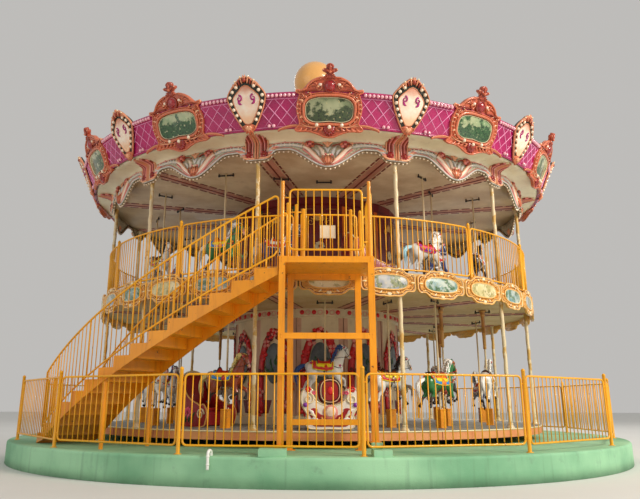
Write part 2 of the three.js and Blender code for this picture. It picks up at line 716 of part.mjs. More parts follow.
function gallopers(deck, turn, middle, foot, head) {
  horseSpots(turn).forEach((angle, i) => {
    const place = spot(HORSE_CIRCLE, angle);
    const figure = horseShape().map((shape) => shape.translate(0, 0, middle));
    const pole = rod(POLE_RADIUS, foot, head);
    const shape = geometryOf(fuse(...figure, pole));
    const mesh = piece(`${deck}_horse_${i + 1}`, shape, HORSE_WHITE, carousel);
    mesh.position.set(place.x, place.y, 0);
    mesh.rotation.z = radians(angle);
  });
}

// Fixed structure
piece('concrete_base', concreteBase(), CONCRETE);
piece('left_tower_pad', box(-1000, -600, -6700, -6270, BASE_TOP + FIT, LEFT_PAD_TOP), CONCRETE);
piece('right_tower_pad', rightPad(), CONCRETE);
piece('slewing_ring', turned([
  [0, BASE_TOP + FIT], [SLEW_RADIUS, BASE_TOP + FIT],
  [SLEW_RADIUS, PLATFORM_BOTTOM - FIT], [0, PLATFORM_BOTTOM - FIT],
]), STEEL);
fenceSections();
piece('stair_tower_front', towerFront(), ORANGE);
piece('stair_tower_rear', towerRear(), ORANGE);
piece('landing_floor', landingFloor(), ORANGE);
piece('landing_front_rail', landingFrontRail(), YELLOW);
piece('landing_side_rail', landingSideRail(), YELLOW);
stair();
piece('stair_outer_handrail', stairRail(STAIR_OUTER - 60), YELLOW);
piece('stair_inner_handrail', stairRail(STAIR_INNER + 20), YELLOW);
stairProps().forEach((shape, i) => piece(`stair_prop_${i + 1}`, shape, ORANGE));

// Turning structure
piece('lower_platform', lowerPlatform(), PEACH, carousel);
piece('upper_deck', upperDeck(), GOLD, carousel);
piece('lower_centre_drum', drum(PLATFORM_TOP, DECK_BOTTOM), RED_PANEL, carousel);
piece('upper_centre_drum', drum(DECK_TOP, CEILING), RED_PANEL, carousel);
piece('canopy_ceiling', canopyCeiling(), CREAM, carousel);
piece('canopy_roof', canopyRoof(), CREAM, carousel);
piece('roof_ball', roofBall(), GOLD, carousel);
for (let quarter = 0; quarter < 4; quarter += 1) {
  const bays = BAYS / 4;
  piece(`cornice_${quarter + 1}`, corniceSection(quarter * bays - 0.5, bays), MAGENTA, carousel);
  piece(`arcade_${quarter + 1}`, arcade(quarter * bays, bays), CREAM, carousel);
  piece(`deck_fascia_${quarter + 1}`, deckFascia(quarter), GOLD, carousel);
}
deckRailSections();
piece('deck_gate', deckGate(), YELLOW, carousel);

// Gallopers, each with its foot in the floor below it and its head in the ceiling above it
const lowerFoot = (BASE_TOP + PLATFORM_TOP) / 2 - 3;
const deckMiddle = (DECK_BOTTOM + DECK_TOP) / 2;
const upperHead = CEILING + 190;
gallopers('lower', LOWER_HORSE_TURN, PLATFORM_TOP + LOWER_HORSE_HEIGHT, lowerFoot, deckMiddle);
gallopers('upper', UPPER_HORSE_TURN, DECK_TOP + UPPER_HORSE_HEIGHT, deckMiddle, upperHead);

export default object;
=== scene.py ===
import math

import bpy
import bmesh
import numpy as np
from mathutils import Matrix, Vector
from mathutils.geometry import tessellate_polygon


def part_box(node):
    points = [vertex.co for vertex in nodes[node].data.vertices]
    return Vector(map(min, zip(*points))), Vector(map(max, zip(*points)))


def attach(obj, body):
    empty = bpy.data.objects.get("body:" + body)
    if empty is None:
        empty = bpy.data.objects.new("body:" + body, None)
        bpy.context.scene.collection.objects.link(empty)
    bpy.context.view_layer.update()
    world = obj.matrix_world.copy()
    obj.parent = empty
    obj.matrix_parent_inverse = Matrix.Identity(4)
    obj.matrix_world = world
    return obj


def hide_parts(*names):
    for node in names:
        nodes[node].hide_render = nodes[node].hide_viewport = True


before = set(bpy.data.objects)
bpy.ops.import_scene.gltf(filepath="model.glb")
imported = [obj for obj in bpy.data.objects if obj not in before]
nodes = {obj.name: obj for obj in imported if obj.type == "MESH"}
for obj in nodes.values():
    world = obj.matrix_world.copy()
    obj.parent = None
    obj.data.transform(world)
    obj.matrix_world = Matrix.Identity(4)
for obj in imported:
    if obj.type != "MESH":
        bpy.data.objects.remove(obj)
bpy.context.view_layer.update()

# Sizes in metres, heights from the ground. Angles are in degrees from the -Y side towards +X.
# Carved parts are drawn flat, as points (u, v): u runs from the middle of a bay or panel, v is the height.
TAU = 2 * math.pi
ROTOR_TURN = 1.04
BAYS = 12
BAY = 360 / BAYS
BASE_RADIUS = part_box("concrete_base")[1].x
BASE_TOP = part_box("concrete_base")[1].z
PLATFORM_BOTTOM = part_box("lower_platform")[0].z
PLATFORM_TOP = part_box("lower_platform")[1].z
PLATFORM_RADIUS = 5.11
DECK_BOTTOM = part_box("upper_deck")[0].z
DECK_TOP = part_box("upper_deck")[1].z
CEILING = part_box("canopy_ceiling")[0].z
LIP_RADIUS = 5.11
VALANCE_RADIUS = LIP_RADIUS - 0.012
COVE_FOOT = 5.84
CORNICE_BOTTOM = 5.93
CORNICE_TOP = 6.52
CORNICE_FOOT_RADIUS = 5.533
CORNICE_LEAN = 0.45
CORNICE_CIRCLE = 5.66
COLUMN_CIRCLE = 5.0
FENCE_RADIUS = 6.6
FENCE_BAYS = 15
FENCE_TURN = 4.4
DECK_RAIL_RADIUS = 5.065
DECK_RAIL_PANELS = 13
LANDING_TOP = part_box("landing_floor")[1].z
OUTER_HORSES = 4.1
BOARD_CENTRE = 6.22
SHIELD_CENTRE = 6.41
QUARTERS = 4
QUARTER_BAYS = BAYS // QUARTERS
DRUM_RADIUS = 2.0
POLE_RADIUS = 0.0195
COAT_RATIO = 0.08
STAIR_OUTER_RAIL = 6.355
STAIR_INNER_RAIL = 5.365


# Forms: each is a pair of points and a list of face arrays

def grid(rows, columns, wrap_rows=False, wrap_columns=False):
    """Four-sided faces between the points of a grid"""
    i = np.arange(rows if wrap_rows else rows - 1)[:, None]
    j = np.arange(columns if wrap_columns else columns - 1)[None, :]
    after = (i + 1) % rows
    right = (j + 1) % columns
    corners = [i * columns + j, i * columns + right, after * columns + right, after * columns + j]
    return np.stack(np.broadcast_arrays(*corners), -1).reshape(-1, 4)


def caps(sides, last):
    """End faces of a form made of rings, from the first ring to the last"""
    ring = np.arange(sides)[None]
    return [ring[:, ::-1], last * sides + ring]


def oblong(left, low, right, high):
    """Corners of an upright rectangle, anticlockwise"""
    return np.array([(left, low), (right, low), (right, high), (left, high)])


def through(stations, steps=6, closed=False):
    """A smooth line through stations of any dimension, steps pieces between each two"""
    stations = np.asarray(stations, float)
    count = len(stations)
    if closed:
        padded = np.concatenate([stations[-1:], stations, stations[:2]])
        spans = count
    else:
        padded = np.concatenate([2 * stations[:1] - stations[1:2], stations,
                                 2 * stations[-1:] - stations[-2:-1]])
        spans = count - 1
    t = (np.arange(steps) / steps)[:, None]
    pieces = []
    for i in range(spans):
        a, b, c, d = padded[i], padded[i + 1], padded[i + 2], padded[i + 3]
        pieces.append(0.5 * (2 * b + (c - a) * t + (2 * a - 5 * b + 4 * c - d) * t ** 2
                             + (3 * b - a - 3 * c + d) * t ** 3))
    if not closed:
        pieces.append(stations[-1:])
    return np.concatenate(pieces)


def sided(side, stations, steps):
    """A smooth line in the (u, v) plane, mirrored where side is -1"""
    return through(np.array(stations) * (side, 1), steps)


def tube(path, radius, sides=8, closed=False):
    """A round bar along a path. The radius is one number, one a point, or two a point: across the path and
    in its plane."""
    path = np.asarray(path, float)
    count = len(path)
    radii = np.asarray(radius, float)
    if radii.ndim < 2:
        radii = np.repeat(np.broadcast_to(radii, count)[:, None], 2, 1)
    ahead = np.roll(path, -1, 0) - np.roll(path, 1, 0) if closed else np.gradient(path, axis=0)
    ahead /= np.linalg.norm(ahead, axis=1)[:, None]
    side = np.empty_like(path)
    first = np.cross(ahead[0], (0, 0, 1.0))
    if np.linalg.norm(first) < 0.2:
        first = np.cross(ahead[0], (1.0, 0, 0))
    side[0] = first / np.linalg.norm(first)
    for i in range(1, count):
        level = side[i - 1] - ahead[i] * np.dot(side[i - 1], ahead[i])
        side[i] = level / np.linalg.norm(level)
    lift = np.cross(ahead, side)
    turn = np.arange(sides) * TAU / sides
    ring = (np.cos(turn)[None, :, None] * side[:, None] * radii[:, 0, None, None]
            + np.sin(turn)[None, :, None] * lift[:, None] * radii[:, 1, None, None])
    faces = [grid(count, sides, closed, True)]
    if not closed:
        faces += caps(sides, count - 1)
    return (path[:, None] + ring).reshape(-1, 3), faces


def shell(front, back, rows, columns):
    """A closed sheet between two grids of points"""
    count = rows * columns
    loop = [*range(columns), *range(2 * columns - 1, count, columns),
            *range(count - 2, count - columns - 1, -1), *range(count - 2 * columns, 0, -columns)]
    rim = np.array([(a, a + count, b + count, b) for a, b in zip(loop, loop[1:] + loop[:1])])
    sheet = grid(rows, columns)
    return np.concatenate([front, back]), [sheet, sheet[:, ::-1] + count, rim]


def lathe(profile, sides=24, centre=(0, 0, 0), closed=False):
    """A turned form about a vertical line through centre. Its profile of radius and height starts and
    ends on the axis, or is closed."""
    profile = np.asarray(profile, float)
    turn = np.arange(sides) * TAU / sides
    points = np.stack([profile[:, None, 0] * np.cos(turn), profile[:, None, 0] * np.sin(turn),
                       np.repeat(profile[:, 1:2], sides, 1)], -1).reshape(-1, 3)
    return points + np.asarray(centre), [grid(len(profile), sides, closed, True)]


def ball(centre, radii, sides=7, rings=4):
    """A round bulb"""
    turn = np.linspace(0.02, math.pi - 0.02, rings + 1)
    points, faces = lathe(np.stack([np.sin(turn), -np.cos(turn)], -1), sides)
    faces += caps(sides, rings)
    return points * np.asarray(radii) + np.asarray(centre), faces


def block(low, high):
    """A box between two corners"""
    low, high = np.asarray(low, float), np.asarray(high, float)
    pick = np.array([[x, y, z] for x in (0, 1) for y in (0, 1) for z in (0, 1)])
    faces = np.array([[0, 1, 3, 2], [4, 6, 7, 5], [0, 4, 5, 1], [2, 3, 7, 6], [0, 2, 6, 4], [1, 5, 7, 3]])
    return low + pick * (high - low), [faces]


def normals_of(outline):
    """Outward directions of a closed outline that runs anticlockwise"""
    ahead = np.roll(outline, -1, 0) - np.roll(outline, 1, 0)
    out = np.stack([ahead[:, 1], -ahead[:, 0]], -1)
    return out / np.maximum(np.linalg.norm(out, axis=1), 1e-9)[:, None]


def slab(outline, foot, top, edge=0.006):
    """A plate in the (u, v) plane between two depths, with a bevelled rim"""
    outline = np.asarray(outline, float)
    out = normals_of(outline)
    count = len(outline)
    inner = outline - out * edge
    rings = [(outline, foot), (outline, top - edge * 0.8),
             (outline - out * edge * 0.35, top - edge * 0.2), (inner, top)]
    points = np.concatenate([np.column_stack([ring, np.full(count, depth)]) for ring, depth in rings])
    triangles = np.array(tessellate_polygon([[Vector((x, y, 0)) for x, y in inner]]))
    back = np.array(tessellate_polygon([[Vector((x, y, 0)) for x, y in outline]]))
    return points, [grid(4, count, False, True), triangles + 3 * count, back[:, ::-1]]


def moulding(outline, profile):
    """A frame along a closed outline. Its profile is a closed list of outward offset and depth."""
    outline = np.asarray(outline, float)
    out = normals_of(outline)
    rings = [np.column_stack([outline + out * offset, np.full(len(outline), depth)])
             for offset, depth in profile]
    points = np.stack(rings, 1).reshape(-1, 3)
    return points, [grid(len(outline), len(profile), True, True)]


def half_round(width, foot, height, steps=3):
    """A rounded section for a moulding"""
    turn = np.linspace(0, math.pi, steps + 1)
    return [(width / 2 * math.cos(t), foot + height * math.sin(t)) for t in turn]


def stroke(path, width, height, foot=0.0, steps=3):
    """A carved stroke in the (u, v) plane: a rounded ridge along a path. Its width, height and foot are one
    number each, or one a point."""
    path = np.asarray(path, float)
    count = len(path)
    width = np.broadcast_to(np.asarray(width, float), count)
    height = np.broadcast_to(np.asarray(height, float), count)
    foot = np.broadcast_to(np.asarray(foot, float), count)
    ahead = np.gradient(path, axis=0)
    ahead /= np.maximum(np.linalg.norm(ahead, axis=1), 1e-9)[:, None]
    out = np.stack([-ahead[:, 1], ahead[:, 0]], -1)
    turn = np.linspace(0, math.pi, steps + 1)
    rows = []
    for t in turn:
        place = path + out * (width / 2 * math.cos(t))[:, None]
        rows.append(np.column_stack([place, foot + height * math.sin(t)]))
    points = np.stack(rows, 1).reshape(-1, 3)
    sides = steps + 1
    return points, [grid(count, sides, False, True), *caps(sides, count - 1)]


def taper(count, start=0.2, middle=1.0, end=0.1, peak=0.4):
    """Widths that swell and narrow along a stroke"""
    t = np.linspace(0, 1, count)
    return np.interp(t, [0, peak, 1], [start, middle, end]) * (1 - 0.15 * np.cos(t * TAU))


def leaf(root, tip, width, height, foot=0.0, bend=0.0, steps=5):
    """A carved leaf from root to tip"""
    root, tip = np.asarray(root, float), np.asarray(tip, float)
    t = np.linspace(0, 1, steps)[:, None]
    across = np.array([-(tip - root)[1], (tip - root)[0]])
    path = root + (tip - root) * t + across * bend * np.sin(t * math.pi)
    swell = np.sin(np.clip(np.linspace(0.12, 0.985, steps), 0, 1) * math.pi) ** 0.75
    return stroke(path, width * swell, height * (0.35 + 0.65 * swell), foot)


def scroll(centre, radius, turns, start, width, height, foot=0.0, hand=1, steps=6):
    """A volute that winds in to a button"""
    count = int(steps * abs(turns) * 2) + 2
    t = np.linspace(0, 1, count)
    angle = np.radians(start) + hand * t * turns * TAU
    reach = radius * (1 - 0.8 * t)
    path = np.stack([centre[0] + reach * np.cos(angle), centre[1] + reach * np.sin(angle)], -1)
    return stroke(path, width * (1 - 0.5 * t), height, foot)


def fan(centre, radius, spread, facing, ribs, height, foot=0.0):
    """Ribs of a shell, as separate leaves from a centre"""
    forms = []
    for i in range(ribs):
        angle = math.radians(facing + spread * (i / (ribs - 1) - 0.5))
        reach = radius * (1 - 0.18 * abs(i / (ribs - 1) - 0.5) * 2)
        tip = (centre[0] + reach * math.cos(angle), centre[1] + reach * math.sin(angle))
        forms.append(leaf(centre, tip, radius * spread / 57.3 / ribs * 1.5, height, foot, 0, 6))
    return forms


def petals(centre, radius, count, height, foot=0.0, turn=0.0):
    """A rosette: round petals about a button"""
    forms = []
    for i in range(count):
        angle = turn + i * TAU / count
        place = (centre[0] + 0.6 * radius * math.cos(angle),
                 centre[1] + 0.6 * radius * math.sin(angle), foot)
        forms.append(ball(place, (0.5 * radius, 0.5 * radius, height * 0.8), 5, 3))
    return forms


class Shape:
    """Gathers forms, each with a look, and becomes one mesh"""

    def __init__(self):
        self.points, self.faces, self.total = [], [], 0

    def add(self, form, look, smooth=True):
        """Adds points and faces in one look"""
        points, faces = form
        self.points.append(np.asarray(points, float).reshape(-1, 3))
        for part in faces:
            self.faces.append((np.asarray(part, int) + self.total, look, smooth))
        self.total += len(self.points[-1])
        return self

    def add_all(self, forms, look):
        """Adds several forms in one look"""
        for form in forms:
            self.add(form, look)
        return self

    def take(self, other, place=None):
        """Adds a copy of another shape, moved by place"""
        if not other.total:
            return self
        points = np.concatenate(other.points)
        self.points.append(place(points) if place else points)
        for faces, look, smooth in other.faces:
            self.faces.append((faces + self.total, look, smooth))
        self.total += len(points)
        return self

    def build(self, name, body, slot, replaced=()):
        """Makes the piece, riding on a body, in place of the CAD nodes that it replaces. The slot is not
        used.
        """
        mesh = bpy.data.meshes.new(name)
        looks, indices, smooths, polygons = [], [], [], []
        for faces, look, smooth in self.faces:
            if look not in looks:
                looks.append(look)
            polygons.extend(faces.tolist())
            indices.append(np.full(len(faces), looks.index(look)))
            smooths.append(np.full(len(faces), smooth))
        mesh.from_pydata(np.concatenate(self.points).tolist(), [], polygons)
        for look in looks:
            mesh.materials.append(LOOKS[look])
        mesh.polygons.foreach_set("material_index", np.concatenate(indices).astype(np.int32))
        mesh.polygons.foreach_set("use_smooth", np.concatenate(smooths))
        work = bmesh.new()
        work.from_mesh(mesh)
        bmesh.ops.recalc_face_normals(work, faces=work.faces)
        work.to_mesh(mesh)
        work.free()
        mesh.update()
        piece = bpy.data.objects.new(name, mesh)
        bpy.context.scene.collection.objects.link(piece)
        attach(piece, body)
        if replaced:
            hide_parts(*replaced)
        return piece


# Places: functions that carry (u, v, w) points on to the object's curved faces

def spot(radius, angle, z=0.0):
    """The point at a radius, angle and height"""
    turn = math.radians(angle)
    return np.array([radius * math.sin(turn), -radius * math.cos(turn), z])


def spots(reach, turn, z):
    """The same for arrays, with the turn in radians"""
    return np.stack([reach * np.sin(turn), -reach * np.cos(turn), z], -1)


def on_drum(radius, angle):
    """u runs along a circle from the angle on, v is the height and w the outward depth"""
    def place(points):
        turn = math.radians(angle) + points[:, 0] / radius
        return spots(radius + points[:, 2], turn, points[:, 1])
    return place


def on_cornice(angle):
    """The same on the cornice, which leans outwards: w stands square to its face"""
    slope = math.hypot(1, CORNICE_LEAN)

    def place(points):
        turn = math.radians(angle) + points[:, 0] / CORNICE_CIRCLE
        lean = (points[:, 1] - CORNICE_BOTTOM) * CORNICE_LEAN
        reach = CORNICE_FOOT_RADIUS + lean + points[:, 2] / slope
        return spots(reach, turn, points[:, 1] - points[:, 2] * CORNICE_LEAN / slope)
    return place


def cove_line():
    """Radius and height along the cove's hollow, from the valance out to the cornice"""
    edge = VALANCE_RADIUS
    return through([(edge, COVE_FOOT), (edge + 0.012, COVE_FOOT + 0.03), (edge + 0.045, COVE_FOOT + 0.055),
                    (edge + 0.10, COVE_FOOT + 0.073), (edge + 0.19, COVE_FOOT + 0.086),
                    (CORNICE_FOOT_RADIUS - 0.05, CORNICE_BOTTOM)], 3)


def on_valance(angle):
    """Upright up to the cove's foot, and from there out along its hollow"""
    start = COVE_FOOT - 1.0
    line = np.concatenate([[(VALANCE_RADIUS, start)], cove_line()])
    along = start + np.concatenate([[0], np.cumsum(np.hypot(*np.diff(line, axis=0).T))])
    slope = np.gradient(line, along, axis=0)
    slope[1] = (0, 1)

    def place(points):
        turn = math.radians(angle) + points[:, 0] / VALANCE_RADIUS
        radius, z = (np.interp(points[:, 1], along, line[:, i]) for i in (0, 1))
        rise_r, rise_z = (np.interp(points[:, 1], along, slope[:, i]) for i in (0, 1))
        return spots(radius + points[:, 2] * rise_z, turn, z - points[:, 2] * rise_r)
    return place


def moved(offset, turn=0.0):
    """A turn about Z in degrees, then a move"""
    c, s = math.cos(math.radians(turn)), math.sin(math.radians(turn))
    matrix = np.array([[c, -s, 0], [s, c, 0], [0, 0, 1]])

    def place(points):
        return points @ matrix.T + np.asarray(offset)
    return place


def upright(radius, angle):
    """u runs along the tangent, v is the height, w points outwards, all flat"""
    centre, along, out = spot(radius, angle), spot(1, angle + 90), spot(1, angle)

    def place(points):
        level = centre + points[:, :1] * along + points[:, 2:] * out
        return np.column_stack([level[:, :2], points[:, 1]])
    return place


# Materials

LOOKS = {}


GRAIN = 45.0


class Nodes:
    """Short names for building a material's nodes"""

    def __init__(self, name):
        self.material = bpy.data.materials.new(name)
        self.material.use_nodes = True
        self.tree = self.material.node_tree
        self.tree.nodes.clear()
        self.shader = self.node("ShaderNodeBsdfPrincipled")
        output = self.node("ShaderNodeOutputMaterial")
        self.link(self.shader.outputs[0], output.inputs[0])
        self.place = self.node("ShaderNodeTexCoord").outputs["Object"]

    def node(self, kind, **settings):
        """Adds a node"""
        made = self.tree.nodes.new(kind)
        for key, value in settings.items():
            setattr(made, key, value)
        return made

    def link(self, source, target):
        """Joins two sockets"""
        self.tree.links.new(source, target)

    def stretched(self, scale):
        """The place on the object, scaled along each axis"""
        mapping = self.node("ShaderNodeMapping")
        self.link(self.place, mapping.inputs["Vector"])
        mapping.inputs["Scale"].default_value = scale
        return mapping.outputs[0]

    def noise(self, scale, detail=4.0, vector=None, rough=0.55):
        """Noise over a vector, or over the place on the object"""
        made = self.node("ShaderNodeTexNoise")
        self.link(vector or self.place, made.inputs["Vector"])
        made.inputs["Scale"].default_value = scale
        made.inputs["Detail"].default_value = detail
        made.inputs["Roughness"].default_value = rough
        return made.outputs[0]

    def cells(self, scale):
        """Distance from the middle of round cells"""
        made = self.node("ShaderNodeTexVoronoi")
        self.link(self.place, made.inputs["Vector"])
        made.inputs["Scale"].default_value = scale
        return made.outputs["Distance"]

    def axes(self, vector=None):
        """The X, Y and Z of a vector, or of the place on the object"""
        made = self.node("ShaderNodeSeparateXYZ")
        self.link(vector or self.place, made.inputs[0])
        return made.outputs

    def ramp(self, value, low, high, to_low=0.0, to_high=1.0):
        """A smooth step between two values"""
        made = self.node("ShaderNodeMapRange", interpolation_type="SMOOTHSTEP")
        self.link(value, made.inputs["Value"])
        for key, number in (("From Min", low), ("From Max", high), ("To Min", to_low), ("To Max", to_high)):
            made.inputs[key].default_value = number
        return made.outputs[0]

    def math(self, operation, a, b):
        """The result of an operation on two values, each a socket or a number"""
        made = self.node("ShaderNodeMath", operation=operation)
        for socket, value in zip(made.inputs, (a, b)):
            if isinstance(value, (int, float)):
                socket.default_value = value
            else:
                self.link(value, socket)
        return made.outputs[0]

    def mix(self, share, a, b):
        """From colour a at a share of 0 to colour b at 1"""
        made = self.node("ShaderNodeMix", data_type="RGBA")
        for socket, value in ((made.inputs[0], share), (made.inputs[6], a), (made.inputs[7], b)):
            if isinstance(value, (int, float)):
                socket.default_value = value
            elif isinstance(value, tuple):
                socket.default_value = (*value, 1.0)
            else:
                self.link(value, socket)
        return made.outputs[2]

    def bump(self, height, strength, distance=0.01):
        """Bumps the surface by a height"""
        made = self.node("ShaderNodeBump")
        self.link(height, made.inputs["Height"])
        made.inputs["Strength"].default_value = strength
        made.inputs["Distance"].default_value = distance
        self.link(made.outputs[0], self.shader.inputs["Normal"])

    def finish(self, colour, rough, metal=0.0, coat=0.0):
        """Sets the shader's colour, roughness, metal and clear coat"""
        if isinstance(colour, tuple):
            self.shader.inputs["Base Color"].default_value = (*colour, 1.0)
        else:
            self.link(colour, self.shader.inputs["Base Color"])
        if isinstance(rough, float):
            self.shader.inputs["Roughness"].default_value = rough
        else:
            self.link(rough, self.shader.inputs["Roughness"])
        self.shader.inputs["Metallic"].default_value = metal
        self.shader.inputs["Coat Weight"].default_value = coat
        return self.material


RICHNESS = 1.06
LUMA = (0.2126, 0.7152, 0.0722)


def rgb(red, green, blue):
    """A colour as seen, from 0 to 255, in the linear values that shaders take, made a little richer"""
    plain = [((c / 255 + 0.055) / 1.055) ** 2.4 if c > 10.3 else c / 255 / 12.92 for c in (red, green, blue)]
    grey = LUMA[0] * plain[0] + LUMA[1] * plain[1] + LUMA[2] * plain[2]
    return tuple(min(1.0, max(0.004, grey + (c - grey) * RICHNESS)) for c in plain)


def shade(colour, share):
    """A lighter or darker colour"""
    return tuple(min(1.0, c * share) for c in colour)


def paint(name, colour, rough=0.4, vary=0.2, scale=1.6, dirt=0.3, dirt_colour=rgb(96, 82, 60), streaks=0.0,
          chips=0.0, chip_colour=rgb(120, 70, 40), edges=0.0, highlight_colour=None, coat=0.2, bump=0.15,
          carve=0.0, worn_colour=None, worn=0.0):
    """Gloss paint that has stood outdoors: uneven colour, dirt, run marks and chips; painted shade in creases
    and painted highlights on ridges; and a carved cell pattern with painted shade between its cells and
    painted highlights at their middles
    """
    make = Nodes(name)
    broad = make.ramp(make.noise(scale, 3.0), 0.3, 0.7)
    tone = make.mix(broad, shade(colour, 1 - vary), shade(colour, 1 + vary * 0.6))
    small = make.noise(GRAIN, 5.0)
    if dirt:
        patches = make.ramp(make.noise(scale * 4.3, 7.0, rough=0.65), 0.5, 0.78, 0.0, dirt)
        tone = make.mix(patches, tone, dirt_colour)
    if streaks:
        runs = make.ramp(make.noise(3.0, 5.0, make.stretched((4.0, 4.0, 0.35))), 0.5, 0.72, 0.0, streaks)
        tone = make.mix(runs, tone, dirt_colour)
    if worn:
        patches = make.ramp(make.noise(2.1, 5.0, rough=0.6), 0.5, 0.56, 0.0, worn)
        tone = make.mix(patches, tone, worn_colour)
    # Carved cells: painted shade towards each cell's border and a painted highlight, in the highlight colour,
    # at its middle; the bump below raises the middles
    if carve:
        swirl = make.cells(carve)
        tone = make.mix(make.ramp(swirl, 0.42, 0.75, 0.0, 0.6), tone, shade(colour, 0.32))
        tone = make.mix(make.ramp(swirl, 0.08, 0.2, 0.4, 0.0), tone, highlight_colour)
    # Pointiness paints shade into creases and a painted highlight, in the highlight colour, on ridges
    if edges:
        point = make.node("ShaderNodeNewGeometry").outputs["Pointiness"]
        tone = make.mix(make.ramp(point, 0.44, 0.495, edges, 0.0), tone, shade(colour, 0.45))
        lit = make.ramp(point, 0.505, 0.56, 0.0, edges)
        tone = make.mix(lit, tone, highlight_colour or shade(colour, 1.6))
    rubbed = make.ramp(small, 0.3, 0.7, rough * 0.8, min(1.0, rough * 1.3))
    height = small
    if chips:
        flakes = make.ramp(make.noise(scale * 9, 8.0, rough=0.7), 0.66 - 0.12 * chips, 0.68 - 0.12 * chips)
        tone = make.mix(flakes, tone, chip_colour)
        height = make.math("SUBTRACT", small, flakes)
    if carve:
        height = make.math("SUBTRACT", height, make.math("MULTIPLY", swirl, 2.4))
    make.bump(height, bump, 0.004)
    LOOKS[name] = make.finish(tone, rubbed, 0.0, coat)


